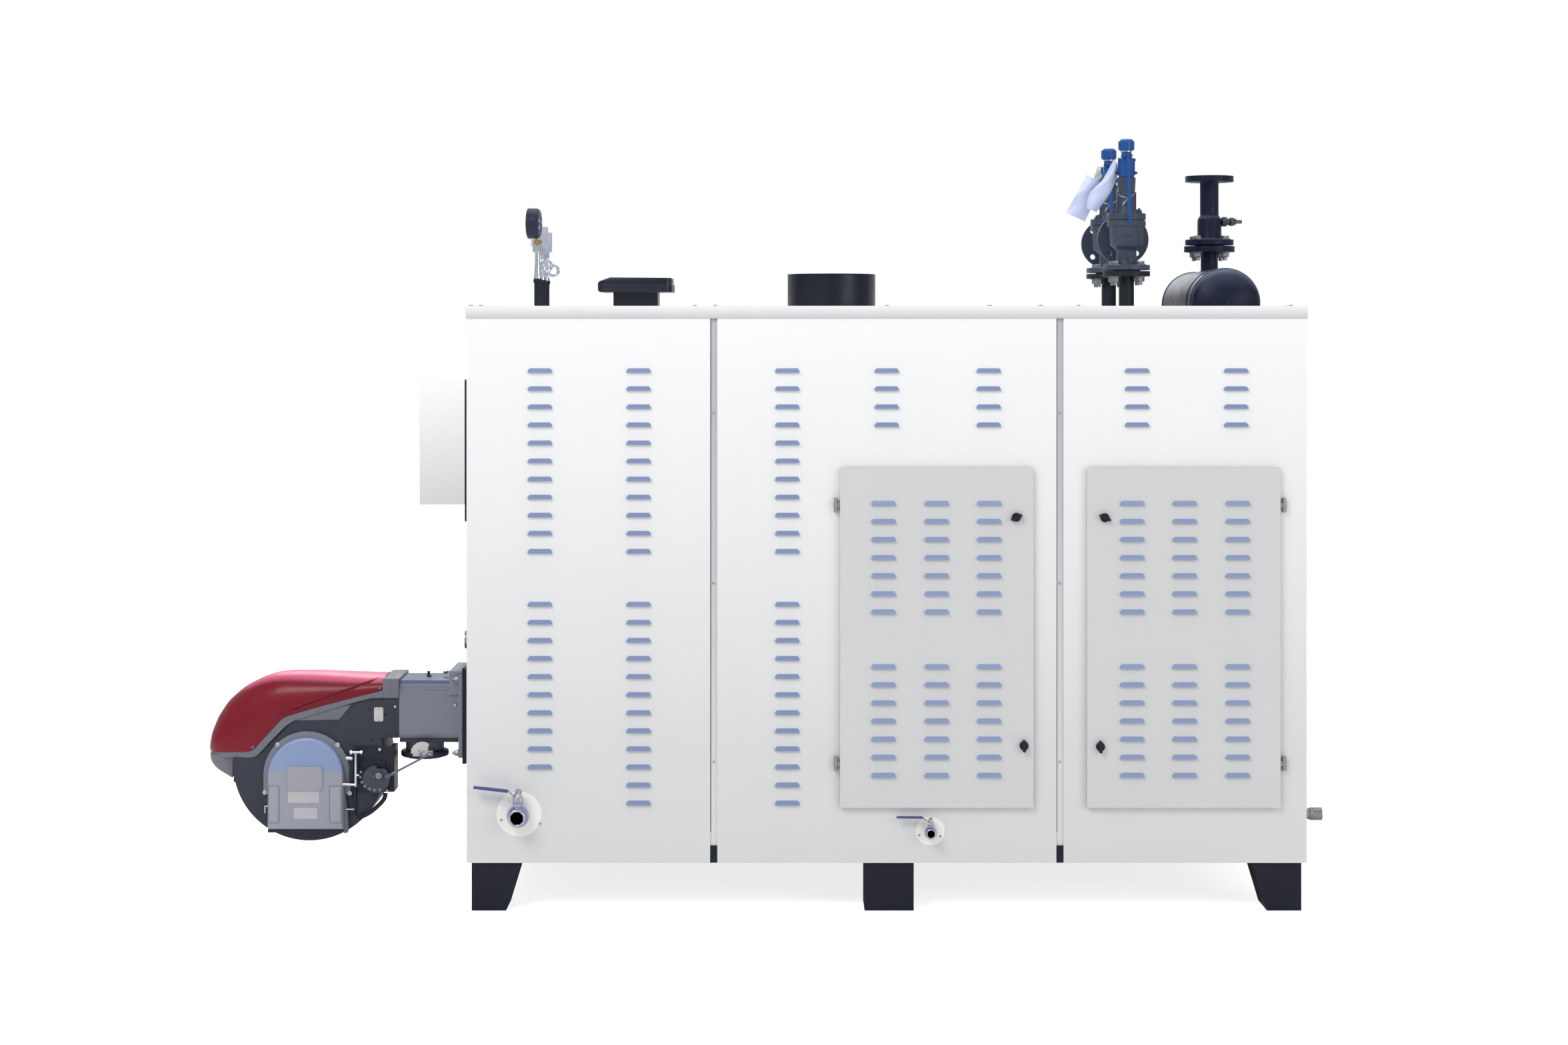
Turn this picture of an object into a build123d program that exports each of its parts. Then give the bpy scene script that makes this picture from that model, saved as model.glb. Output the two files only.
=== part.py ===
"""Packaged steam boiler: a louvred sheet casing on feet, a forced draught gas burner on
its left end, and the steam, safety and gauge fittings on its roof.

Millimetres, +Z up, +X along the casing away from the burner, front side at -Y.
The origin is on the floor, below the centre of the whole machine.
"""
from build123d import *
import os

os.makedirs("parts", exist_ok=True)

# Casing
overall_length = 3562
burner_length = 840
burner_standoff = 70
case_length = 2557
case_depth = 1240
case_bottom = 148
case_top = 1844
front_reach = 78
back_reach = 12
sheet = 2.5
fold = 30
roof_lip = 38
roof_overhang = 3
seam_width = 22
left_panel_width = 741
middle_panel_width = 1032
base_height = 52
base_beam = 80

# Feet
foot_top_width = 150
foot_bottom_width = 105
foot_inset = 14
foot_depth = 150
foot_plate = 8
foot_setback = 12
centre_foot_x = 415.5

# Doors: folded leaves that lap over the edges of their doorways
door_width = 587
door_height = 1032
door_bottom = 319
door_lap = 20
door_thickness = 15
door_standoff = 5
door_left_x = 559
door_right_x = 1309
hinge_offset = 13
hinge_barrel_r = 6
hinge_pin_r = 3
hinge_height = 43
hinge_heights = (1238, 452)

# Door latches: x, z and the turn of the wings in degrees
latch_shaft_r = 5.5
latch_knob_r = 13.5
latch_ear = 37
latch_places = {
    "latch_left_upper": (800.3, 1202.1, 25),
    "latch_left_lower": (823.4, 508.2, 90),
    "latch_right_upper": (1068.9, 1200.7, -25),
    "latch_right_lower": (1055.4, 505.5, 90),
}

# Louvres: pressed hoods, open below, each over a slot in its sheet
louvre_width = 74
louvre_height = 13.6
louvre_depth = 9
louvre_lip = 3
louvre_wall = 1.5
louvre_shoulder = 5
louvre_slant = 6
louvre_pitch = 55
upper_louvre_z = 1641
lower_louvre_z = 930
upper_rows = 11
lower_rows = 12
door_rows = 7
door_upper_z = 1239
door_lower_z = 743

# Burner: places are given back from its flange plane, up and across from its own axis
burner_axis_z = 530
burner_neck_r = 135
volute_r = 248
volute_back, volute_up = 487, -170
volute_front, volute_rear = -110, 95
cover_half = 118
cover_round = 36
head_back = 209
head_half = 110
head_low, head_high = -88, 105
inlet_back = 140
inlet_face_z = 377
inlet_bore_r = 22
intake_back, intake_up = 505, -198
intake_half = 122
intake_drop = 171
intake_stand = 35
intake_flange_half = 141
link_plane = -134
link_arm = 31
link_pin_r = 3
shaft_r, shaft_play = 5, 0.1
cam_back, cam_up = 270, -197
lever_back, lever_up = 135, -126

# Left end: control box and sight port
sight_port_z = 756
sight_port_r = 25
box_depth = 143
box_standoff = 42
box_bottom, box_height = 1219, 395
box_width = 500

# Right end: feed water stub
stub_z = 252
stub_pipe_r = 16.85
stub_coupling_r = 20
stub_bore_r = 15.1

# Roof fittings
roof_hole_gap = 3
drum_slot_gap = 8
flue_x = 249.5
flue_r = 142.5
flue_wall = 4
flue_top = 1952
flue_floor = 40
hatch_x = -387.5
hatch_neck = 144
hatch_cover = 241
hatch_low, hatch_step, hatch_high = 1892, 1916, 1940
drum_x = 1497
drum_z = 1855
drum_r = 109.5
drum_head = 55
drum_knuckle = 35
drum_leg_r = 30
steam_pipe_r = 28
steam_flange_z = 2045
steam_flange = 19
steam_valve_top = 2277
cock_z = 2126
safety_x = 1187
safety_flange_z = 1957
safety_flange = 16
riser_r = 24.15
gauge_x = -692
gauge_z = 2109
gauge_case_r = 49
gauge_riser_r = 10.65
gauge_riser_top = 1932
gauge_nut_z = 2020
switch_bottoms = (2033, 2020)
switch_height = 73
safety_outlet_z = 2061
safety_outlet_reach = 100
safety_outlet_flange = 18
safety_cap_z = 2256
lift_pivot_z = 2324
lift_pivot_out = 34
lift_lever_slope = 48
lift_lever_length = 211
lift_lever_width = 8.5

# Pipe flanges: outer radius, bolt circle, bolt hole radius
dn50_r, dn50_pcd, dn50_bore_r = 82.5, 125, 26.5
dn40_r, dn40_pcd = 75, 110
bolt_hole_r = 9
flange_cut = 40

# Ball valves on the front: place, sizes and where the lever's handle runs
ball_valves = {
    "drain": dict(x=-711, z=297, plate_r=69, body_r=34, end_flats=50, bore_r=19.5, reach=78, stem=62,
                  handle_start=-851.7, handle_end=-742, handle_rise=76, handle_slope=4, handle_half=11),
    "blowdown": dict(x=540, z=245, plate_r=44.5, body_r=19, end_flats=30.4, bore_r=12.1, reach=52, stem=36,
                     handle_start=435.7, handle_end=513, handle_rise=45, handle_slope=0, handle_half=8),
}
wall_plate = 3

# Places worked out from the driving dimensions
burner_end = -overall_length / 2
flange_x = burner_end + burner_length
case_left = flange_x + burner_standoff
case_right = case_left + case_length
front_y = -(case_depth + front_reach + back_reach) / 2 + front_reach
back_y = front_y + case_depth
mid_y = (front_y + back_y) / 2
left_panel_end = case_left + left_panel_width
middle_panel_start = left_panel_end + seam_width
middle_panel_end = middle_panel_start + middle_panel_width
right_panel_start = middle_panel_end + seam_width
base_top = case_bottom + base_height
panel_top = case_top - sheet
body_front = front_y + 150
body_back = back_y - 150
body_left = case_left + 75
body_right = case_right - 90
body_top = 1700
door_face_y = front_y - door_standoff - door_thickness
hinge_y = front_y - door_standoff - door_thickness / 2
box_front_y = front_y + 300
stub_y = front_y + 250
drum_front_y = front_y + 356
drum_back_y = front_y + 994
steam_outlet_y = front_y + 675
safety_ys = (front_y + 390, front_y + 850)
gauge_ys = (front_y + 400, front_y + 560, front_y + 710)


def keep(builder, label):
    """Label a finished piece and write it."""
    builder.part.label = label
    export_step(builder.part, f"parts/{label}.step")


def block(low, high, mode=Mode.ADD):
    """A box between two corners, in the open part."""
    size = [h - l for l, h in zip(low, high)]
    centre = tuple((l + h) / 2 for l, h in zip(low, high))
    with Locations(centre):
        Box(*size, mode=mode)


def rod(start, end, radius, mode=Mode.ADD):
    """A round bar between two points, in the open part."""
    first = Vector(*start)
    along = Vector(*end) - first
    with Locations(Plane(origin=first, z_dir=along.normalized()).location):
        Cylinder(radius, along.length, align=(Align.CENTER, Align.CENTER, Align.MIN), mode=mode)


def hexagon(start, end, across_flats, mode=Mode.ADD):
    """A hexagonal bar between two points, in the open part."""
    first = Vector(*start)
    along = Vector(*end) - first
    with BuildSketch(Plane(origin=first, z_dir=along.normalized())) as profile:
        RegularPolygon(across_flats / 2, 6, major_radius=False)
    extrude(profile.sketch, amount=along.length, mode=mode)


def turned(axis_point, profile, mode=Mode.ADD):
    """A body turned about a vertical axis, from (radius, height) points."""
    x, y = axis_point
    with BuildSketch(Plane(origin=(x, y, 0), x_dir=(1, 0, 0), z_dir=(0, -1, 0))) as half:
        with BuildLine():
            Polyline(*profile, close=True)
        make_face()
    revolve(half.sketch, Axis((x, y, 0), (0, 0, 1)), mode=mode)


def bolt_ring(centre, normal, pcd, hole_r, depth, count=4, turn=45):
    """Bolt holes on a circle, cut through a flange."""
    x_dir = (1, 0, 0) if abs(normal[0]) < 0.5 else (0, 1, 0)
    ring = Plane(origin=centre, x_dir=x_dir, z_dir=normal)
    with Locations(ring.location):
        with PolarLocations(pcd / 2, count, start_angle=turn):
            Cylinder(hole_r, depth, mode=Mode.SUBTRACT)


def hood(profile, inset):
    """A hood's section across its sheet, cut to its outline as seen from the front."""
    half = louvre_width / 2 - inset
    crown = half - louvre_slant
    with BuildPart() as form:
        with BuildSketch(Plane.YZ.offset(-louvre_width / 2)):
            with BuildLine():
                Polyline(*profile, close=True)
            make_face()
        extrude(amount=louvre_width)
        with BuildSketch(Plane.XZ.offset(-2 * sheet)):
            with BuildLine():
                Polyline((-half, -2), (half, -2), (half, louvre_shoulder), (crown, louvre_height),
                         (-crown, louvre_height), (-half, louvre_shoulder), close=True)
            make_face()
        extrude(amount=louvre_depth + 4 * sheet, mode=Mode.INTERSECT)
    return form.part


hood_outside = hood([(1, 0), (-louvre_depth, 0), (-louvre_depth, louvre_lip), (0, louvre_height),
                     (1, louvre_height)], 0)
hood_inside = hood([(louvre_wall - louvre_depth, -1), (louvre_wall - louvre_depth, louvre_lip - 0.6),
                    (0, louvre_height - 2.4), (sheet + 1, louvre_height - 2.4), (sheet + 1, 0), (0, 0),
                    (0, -1)], louvre_wall)


def press_louvres(places):
    """Hoods standing out of the open part's front sheet, with their slots cut through it."""
    with Locations(places):
        add(hood_outside)
    with Locations(places):
        add(hood_inside, mode=Mode.SUBTRACT)


def louvre_rows(first_z, count, pitch=louvre_pitch):
    """Heights of the hoods' lower edges, from the top row down."""
    return [first_z - pitch * i for i in range(count)]


def front_sheet(label, x_range, z_range, hoods=(), folds=(), behind=False):
    """A flat casing sheet with folded edges; hoods is a list of (x, z) places."""
    x0, x1 = x_range
    z0, z1 = z_range
    fold_z0 = max(z0, base_top)
    with BuildPart() as panel:
        block((x0, front_y, z0), (x1, front_y + sheet, z1))
        if "left" in folds:
            block((x0, front_y, fold_z0), (x0 + sheet, front_y + fold, z1))
        if "right" in folds:
            block((x1 - sheet, front_y, fold_z0), (x1, front_y + fold, z1))
        if "top" in folds:
            block((x0, front_y, z1 - sheet), (x1, front_y + fold, z1))
        if "bottom" in folds:
            block((x0, front_y, z0), (x1, front_y + fold, z0 + sheet))
        if hoods:
            press_louvres([(x, front_y, z) for x, z in hoods])
        if behind:
            mirror(about=Plane.XZ.offset(-mid_y), mode=Mode.REPLACE)
    keep(panel, label)


def make_base_frame():
    """Floor tray of the casing: edge beams, cross beams and a bottom sheet."""
    x0, x1 = case_left + sheet, case_right - sheet
    y0, y1 = front_y + sheet, back_y - sheet
    bays = (x0 + base_beam, centre_foot_x - base_beam / 2, centre_foot_x + base_beam / 2, x1 - base_beam)
    with BuildPart() as frame:
        block((x0, y0, case_bottom), (x1, y1, base_top))
        for bay_start, bay_end in (bays[:2], bays[2:]):
            block((bay_start, y0 + base_beam, case_bottom + 3), (bay_end, y1 - base_beam, base_top),
                  mode=Mode.SUBTRACT)
    keep(frame, "base_frame")


def make_feet():
    """Six folded plate feet: tapered ones at the corners, straight ones at mid length."""
    left_x = case_left + foot_inset
    right_x = case_right - foot_inset
    half = foot_top_width / 2
    outlines = (
        [(left_x, 0), (left_x + foot_bottom_width, 0), (left_x + foot_top_width, case_bottom),
         (left_x, case_bottom)],
        [(centre_foot_x - half, 0), (centre_foot_x + half, 0), (centre_foot_x + half, case_bottom),
         (centre_foot_x - half, case_bottom)],
        [(right_x - foot_bottom_width, 0), (right_x, 0), (right_x, case_bottom),
         (right_x - foot_top_width, case_bottom)],
    )
    inner_face = Plane.XZ.offset(-(front_y + foot_setback + foot_depth))
    with BuildPart() as feet:
        for outline in outlines:
            with BuildSketch(inner_face):
                with BuildLine():
                    Polyline(*outline, close=True)
                make_face()
            extrude(amount=foot_depth)
            with BuildSketch(inner_face):
                with BuildLine():
                    Polyline(*outline, close=True)
                make_face()
                offset(amount=-foot_plate, mode=Mode.REPLACE)
            extrude(amount=foot_depth - foot_plate, mode=Mode.SUBTRACT)
        mirror(about=Plane.XZ.offset(-mid_y))
    keep(feet, "feet")


def make_boiler_body():
    """The lagged pressure body inside the casing, seen through the open doors."""
    corner_r, top_r = 60, 30
    with BuildPart() as body:
        block((body_left, body_front, base_top), (body_right, body_back, body_top))
        fillet(body.edges().filter_by(Axis.Z), corner_r)
        fillet(body.faces().sort_by(Axis.Z)[-1].edges(), top_r)
    keep(body, "boiler_body")


def door_opening(centre_x):
    """Left, right, bottom and top of a doorway."""
    half = door_width / 2 - door_lap
    return centre_x - half, centre_x + half, door_bottom + door_lap, door_bottom + door_height - door_lap


def make_front_panels():
    """Front sheets; the two with doors are split beside, over and under the doorway."""
    upper = louvre_rows(upper_louvre_z, upper_rows)
    lower = louvre_rows(lower_louvre_z, lower_rows)
    left_hoods = [(-647.6, z) for z in upper + lower[:10]] + [(-347.3, z) for z in upper + lower]
    front_sheet("front_panel_left", (case_left, left_panel_end), (case_bottom, panel_top), left_hoods,
                ("left", "right"))

    x0, x1, z0, z1 = door_opening(door_left_x)
    middle_hoods = [(105.1, z) for z in upper + lower]
    front_sheet("front_panel_middle", (middle_panel_start, x0), (case_bottom, panel_top), middle_hoods,
                ("left", "right"))
    head_hoods = [(x, z) for x in (407.5, 717.9) for z in upper[:4]]
    front_sheet("front_panel_middle_head", (x0, x1), (z1, panel_top), head_hoods, ("bottom",))
    front_sheet("front_panel_middle_sill", (x0, x1), (case_bottom, z0))
    front_sheet("front_panel_middle_jamb", (x1, middle_panel_end), (case_bottom, panel_top), (),
                ("left", "right"))

    x0, x1, z0, z1 = door_opening(door_right_x)
    front_sheet("front_panel_right_jamb", (right_panel_start, x0), (case_bottom, panel_top), (),
                ("left", "right"))
    head_hoods = [(x, z) for x in (1169.4, 1470.7) for z in upper[:4]]
    front_sheet("front_panel_right_head", (x0, x1), (z1, panel_top), head_hoods, ("bottom",))
    front_sheet("front_panel_right_sill", (x0, x1), (case_bottom, z0))
    front_sheet("front_panel_right_end", (x1, case_right), (case_bottom, panel_top), (), ("left", "right"))


def make_back_panels():
    """Back sheets: plain louvred ones, split as the front is."""
    rows = louvre_rows(upper_louvre_z, upper_rows) + louvre_rows(lower_louvre_z, lower_rows)
    spans = (("back_panel_left", case_left, left_panel_end, 2),
             ("back_panel_middle", middle_panel_start, middle_panel_end, 3),
             ("back_panel_right", right_panel_start, case_right, 2))
    for label, x0, x1, columns in spans:
        pitch = (x1 - x0) / (columns + 0.5)
        first = (x0 + x1) / 2 - pitch * (columns - 1) / 2
        hoods = [(first + pitch * i, z) for i in range(columns) for z in rows]
        front_sheet(label, (x0, x1), (case_bottom, panel_top), hoods, ("left", "right"), behind=True)


def make_seam_strips():
    """Recessed metal strips between the sheets, front and back."""
    recess = 8
    depth = 22
    with BuildPart() as strips:
        for start in (left_panel_end, middle_panel_end):
            for low_y in (front_y + recess, back_y - recess - depth):
                block((start, low_y, base_top), (start + seam_width, low_y + depth, panel_top))
    keep(strips, "seam_strips")


def make_end_panels():
    """End sheets: the burner end has a round cut-out for the burner's neck."""
    for label, x0 in (("end_panel_burner", case_left), ("end_panel_far", case_right - sheet)):
        with BuildPart() as panel:
            block((x0, front_y + fold, case_bottom), (x0 + sheet, back_y - fold, panel_top))
            if label == "end_panel_burner":
                rod((x0 - 5, mid_y, burner_axis_z), (x0 + 10, mid_y, burner_axis_z), burner_neck_r + 8,
                    mode=Mode.SUBTRACT)
                rod((x0 - 5, mid_y, sight_port_z), (x0 + 10, mid_y, sight_port_z), sight_port_r + 3,
                    mode=Mode.SUBTRACT)
            else:
                rod((x0 - 5, stub_y, stub_z), (x0 + 10, stub_y, stub_z), stub_pipe_r + 4, mode=Mode.SUBTRACT)
        keep(panel, label)


def make_roof():
    """Roof sheet with a turned-down lip and cut-outs round what passes through it."""
    x0, x1 = case_left - roof_overhang, case_right + roof_overhang
    y0, y1 = front_y - roof_overhang, back_y + roof_overhang
    under, over = panel_top - 5, case_top + 5
    slot_half = drum_r + drum_slot_gap
    slot_end = drum_head + drum_slot_gap
    hatch_half = hatch_neck / 2 + roof_hole_gap
    round_holes = [(flue_x, mid_y, flue_r)]
    round_holes += [(safety_x, y, riser_r) for y in safety_ys]
    round_holes += [(gauge_x, y, gauge_riser_r) for y in gauge_ys]
    with BuildPart() as roof:
        block((x0, y0, case_top - roof_lip), (x1, y1, case_top))
        block((x0 + sheet, y0 + sheet, case_top - roof_lip), (x1 - sheet, y1 - sheet, case_top - sheet),
              mode=Mode.SUBTRACT)
        block((drum_x - slot_half, drum_front_y - slot_end, under),
              (drum_x + slot_half, drum_back_y + slot_end, over), mode=Mode.SUBTRACT)
        block((hatch_x - hatch_half, mid_y - hatch_half, under),
              (hatch_x + hatch_half, mid_y + hatch_half, over), mode=Mode.SUBTRACT)
        for x, y, radius in round_holes:
            rod((x, y, under), (x, y, over), radius + roof_hole_gap, mode=Mode.SUBTRACT)
    keep(roof, "roof_panel")


def make_door(label, centre_x, hinge_side, columns):
    """A folded door leaf with louvres, latch holes and the door halves of its hinges."""
    x0, x1 = centre_x - door_width / 2, centre_x + door_width / 2
    z0, z1 = door_bottom, door_bottom + door_height
    back = door_face_y + door_thickness
    edge_x = x0 if hinge_side < 0 else x1
    axis_x = edge_x + hinge_side * hinge_offset
    rows = louvre_rows(door_upper_z, door_rows) + louvre_rows(door_lower_z, door_rows)
    with BuildPart() as leaf:
        block((x0, door_face_y, z0), (x1, back, z1))
        block((x0 + sheet, door_face_y + sheet, z0 + sheet), (x1 - sheet, back + 1, z1 - sheet),
              mode=Mode.SUBTRACT)
        press_louvres([(x, door_face_y, z) for x in columns for z in rows])
        for z in hinge_heights:
            low, high = z - hinge_height / 6, z + hinge_height / 6
            rod((axis_x, hinge_y, low), (axis_x, hinge_y, high), hinge_barrel_r)
            block((min(axis_x, edge_x), hinge_y - 2, low), (max(axis_x, edge_x), hinge_y + 2, high))
            rod((axis_x, hinge_y, low - 1), (axis_x, hinge_y, high + 1), hinge_pin_r + 0.06, mode=Mode.SUBTRACT)
        for name, (x, z, turn) in latch_places.items():
            if x0 < x < x1:
                rod((x, door_face_y - 2, z), (x, door_face_y + 5, z), latch_shaft_r + 0.5, mode=Mode.SUBTRACT)
    keep(leaf, label)


def make_hinges():
    """The casing halves of the four hinges: two knuckles, a base and the pin."""
    gap = 0.5
    with BuildPart() as hinges:
        for centre_x, side in ((door_left_x, -1), (door_right_x, 1)):
            axis_x = centre_x + side * (door_width / 2 + hinge_offset)
            for z in hinge_heights:
                rod((axis_x, hinge_y, z - hinge_height / 2), (axis_x, hinge_y, z + hinge_height / 2), hinge_pin_r)
                for low, high in ((z - hinge_height / 2, z - hinge_height / 6 - gap),
                                  (z + hinge_height / 6 + gap, z + hinge_height / 2)):
                    rod((axis_x, hinge_y, low), (axis_x, hinge_y, high), hinge_barrel_r)
                    block((axis_x - 5, hinge_y, low), (axis_x + 5, front_y, high))
    keep(hinges, "hinge_knuckles")


def make_latch(label, x, z, turn):
    """A quarter-turn wing knob, its shaft and the short cam behind the leaf's sheet."""
    knob_stand = 8
    wing_stand = 19
    cam_start = door_face_y + sheet + 3
    with BuildPart() as latch:
        rod((x, door_face_y - 0.5, z), (x, door_face_y - knob_stand, z), latch_knob_r)
        rod((x, door_face_y - knob_stand, z), (x, door_face_y - 2 * knob_stand, z), latch_knob_r - 3)
        with BuildSketch(Plane.XZ.offset(-(door_face_y - 0.5))):
            with Locations(Location((x, z, 0), (0, 0, turn))):
                SlotOverall(latch_ear, 9)
        extrude(amount=wing_stand)
        rod((x, door_face_y - 1, z), (x, cam_start + 1, z), latch_shaft_r)
        with BuildSketch(Plane.XZ.offset(-(cam_start + 3))):
            with Locations(Location((x, z, 0), (0, 0, 90))):
                SlotOverall(38, 16)
        extrude(amount=3)
    keep(latch, label)


def burner_point(back, up):
    """Row (x, z) of a place on the burner."""
    return flange_x - back, burner_axis_z + up


def side_plane(across):
    """A plane facing the front, at a distance across from the burner's axis."""
    return Plane.XZ.offset(-(mid_y + across))


# The cover's crown from the gas head to its nose, its lower edge back again, and the rim below it
cover_crown = [(262, 116), (353, 119), (476, 123), (562, 125), (611, 119), (647, 105), (690, 80), (727, 50),
               (764, 10), (795, -39), (822, -88), (837, -122), (840, -132)]
cover_edge = [(673, -128), (661, -119), (625, -77), (565, -16), (540, -4), (456, 20), (335, 56), (283, 68),
              (258, 76)]
rim_edge = [(822, -160), (790, -192), (734, -206), (734, -155), (673, -149), (637, -119), (565, -40),
            (283, 50), (head_back, 50)]


def make_burner_neck():
    """Blast tube stub and mounting plate between the casing and the burner's flange."""
    with BuildPart() as neck:
        rod((body_left, mid_y, burner_axis_z), (flange_x + 12, mid_y, burner_axis_z), burner_neck_r)
        block((flange_x, mid_y - 150, burner_axis_z - 158), (flange_x + 12, mid_y + 150, burner_axis_z + 150))
    keep(neck, "burner_neck")


def make_burner_manifold():
    """Gas head housing with its mounting flange and hinge block, and the gas inlet branch below."""
    inlet_x = flange_x - inlet_back
    inlet_flange = 18
    inlet_neck_r = 62
    inlet_bore_depth = 60
    corner_r = 26
    flute_up, flute_r = 81, 9
    plate_half, plate_thick, plate_top = 140, 14, 128
    hinge_half, hinge_long, hinge_low, hinge_top = 118, 46, 60, 136
    boss_r, boss_start, boss_end = 14, -40, -118
    lever_x, lever_z = burner_point(lever_back, lever_up)
    with BuildPart() as manifold:
        block((flange_x - head_back, mid_y - head_half, burner_axis_z + head_low),
              (flange_x - 5, mid_y + head_half, burner_axis_z + head_high))
        fillet(manifold.edges().filter_by(Axis.X), corner_r)
        for side in (-1, 1):
            y, z = mid_y + side * (head_half + flute_r - 3), burner_axis_z + flute_up
            rod((flange_x - head_back - 1, y, z), (flange_x, y, z), flute_r, mode=Mode.SUBTRACT)
        block((flange_x - plate_thick, mid_y - plate_half, burner_axis_z - plate_half),
              (flange_x, mid_y + plate_half, burner_axis_z + plate_top))
        block((flange_x - hinge_long, mid_y - hinge_half, burner_axis_z + hinge_low),
              (flange_x, mid_y + hinge_half, burner_axis_z + hinge_top))
        rod((inlet_x, mid_y, burner_axis_z + head_low + 10), (inlet_x, mid_y, inlet_face_z), inlet_neck_r)
        rod((inlet_x, mid_y, inlet_face_z), (inlet_x, mid_y, inlet_face_z + inlet_flange), dn40_r)
        rod((inlet_x, mid_y, inlet_face_z), (inlet_x, mid_y, inlet_face_z + inlet_bore_depth), inlet_bore_r,
            mode=Mode.SUBTRACT)
        bolt_ring((inlet_x, mid_y, inlet_face_z + inlet_flange / 2), (0, 0, 1), dn40_pcd, bolt_hole_r,
                  inlet_flange + 4)
        rod((lever_x, mid_y + boss_start, lever_z), (lever_x, mid_y + boss_end, lever_z), boss_r)
        rod((lever_x, mid_y + boss_start - 50, lever_z), (lever_x, mid_y + boss_end - 1, lever_z),
            shaft_r + shaft_play, mode=Mode.SUBTRACT)
    keep(manifold, "burner_manifold")


def make_burner_housing():
    """Fan volute and the arm that carries it from the gas head."""
    arm = [(552, -30), (385, -22), (349, 27), (291, 44), (head_back, 50), (head_back, -81), (285, -81),
           (330, -110)]
    above_rim = rim_edge[2:] + [(head_back, 300), (900, 300), (900, -206)]
    with BuildPart() as housing:
        with BuildSketch(side_plane(volute_rear)):
            with Locations(burner_point(volute_back, volute_up)):
                Circle(volute_r)
            with BuildLine():
                Polyline(*[burner_point(*p) for p in arm], close=True)
            make_face()
            with BuildLine():
                Polyline(*[burner_point(*p) for p in above_rim], close=True)
            make_face(mode=Mode.SUBTRACT)
        extrude(amount=volute_rear - volute_front)
        chamfer(housing.edges().filter_by(GeomType.CIRCLE), 4)
    keep(housing, "burner_housing")


def make_burner_band():
    """Cast rim that carries the cover, with a square shoulder at the gas head."""
    outline = rim_edge + [(head_back, 112), (258, 112)] + cover_edge[::-1] + [(837, -132)]
    with BuildPart() as band:
        with BuildSketch(side_plane(cover_half - 2)):
            with BuildLine():
                Polyline(*[burner_point(*p) for p in outline], close=True)
            make_face()
        extrude(amount=2 * cover_half - 4)
    keep(band, "burner_rim")


def make_burner_cover():
    """Moulded cover over the burner's controls, with a drooping rounded nose."""
    with BuildPart() as cover:
        with BuildSketch(side_plane(cover_half)):
            with BuildLine():
                Spline(*[burner_point(*p) for p in cover_crown])
                Polyline(*[burner_point(*p) for p in [cover_crown[-1]] + cover_edge + [cover_crown[0]]])
            make_face()
        extrude(amount=2 * cover_half)
        fillet(cover.edges().filter_by(GeomType.BSPLINE), cover_round)
    keep(cover, "burner_cover")


def arch(across, half, drop):
    """The intake's arched outline: a half circle on a straight-sided foot."""
    cx, cz = burner_point(intake_back, intake_up)
    with BuildSketch(side_plane(across)) as outline:
        with BuildLine():
            Polyline((cx - half, cz), (cx - half, cz - drop), (cx + half, cz - drop), (cx + half, cz))
            RadiusArc((cx + half, cz), (cx - half, cz), -half)
        make_face()
    return outline.sketch


def make_burner_intake():
    """Air intake box with an arched top, its flange on the volute and its raised panel."""
    cx, cz = burner_point(intake_back, intake_up)
    flange = 12
    panel_width, panel_height, panel_up = 112, 76, 3
    with BuildPart() as intake:
        extrude(arch(volute_front, intake_flange_half, 62), amount=flange)
        extrude(arch(volute_front - flange, intake_half, intake_drop), amount=intake_stand)
        fillet(intake.faces().sort_by(Axis.Y)[0].edges(), 8)
        with BuildSketch(side_plane(volute_front)):
            with Locations((cx, cz - intake_drop + 30)):
                Rectangle(2 * intake_half, 60)
        extrude(amount=flange)
        with BuildSketch(side_plane(volute_front - flange - intake_stand + 2)):
            with Locations((cx, cz + panel_up)):
                RectangleRounded(panel_width, panel_height, 9)
        extrude(amount=4)
    keep(intake, "burner_intake")


def make_burner_motor():
    """Finned fan motor with its fan cowl, on the rear face of the volute."""
    cx, cz = burner_point(volute_back, volute_up)
    start = mid_y + volute_rear
    frame_end, cowl_end = start + 148, start + 201
    fin_count = 20
    with BuildPart() as motor:
        rod((cx, start, cz), (cx, start + 14, cz), 110)
        rod((cx, start + 14, cz), (cx, frame_end, cz), 70)
        with Locations(Plane(origin=(cx, (start + frame_end) / 2 + 10, cz), z_dir=(0, 1, 0)).location):
            with PolarLocations(74, fin_count):
                Box(18, 3, frame_end - start - 24)
        rod((cx, frame_end, cz), (cx, cowl_end, cz), 82)
        fillet(motor.faces().sort_by(Axis.Y)[-1].edges(), 12)
        block((cx - 45, start + 40, cz + 55), (cx + 45, start + 130, cz + 108))
    keep(motor, "burner_motor")


def make_servo():
    """Servomotor box beside the volute, behind the gas and air cam."""
    x, z = burner_point(cam_back, cam_up)
    front = mid_y + link_plane + 12
    with BuildPart() as servo:
        block((x - 82, front + 6, z - 57), (x + 46, front + 12, z + 90))
        block((x - 30, front, z - 40), (x + 18, front + 6, z + 45))
        block((x + 32, front + 12, z - 57), (x + 46, front + 92, z + 88))
        rod((x, front - 2, z), (x, front + 4, z), shaft_r + shaft_play, mode=Mode.SUBTRACT)
    keep(servo, "burner_servo")


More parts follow.
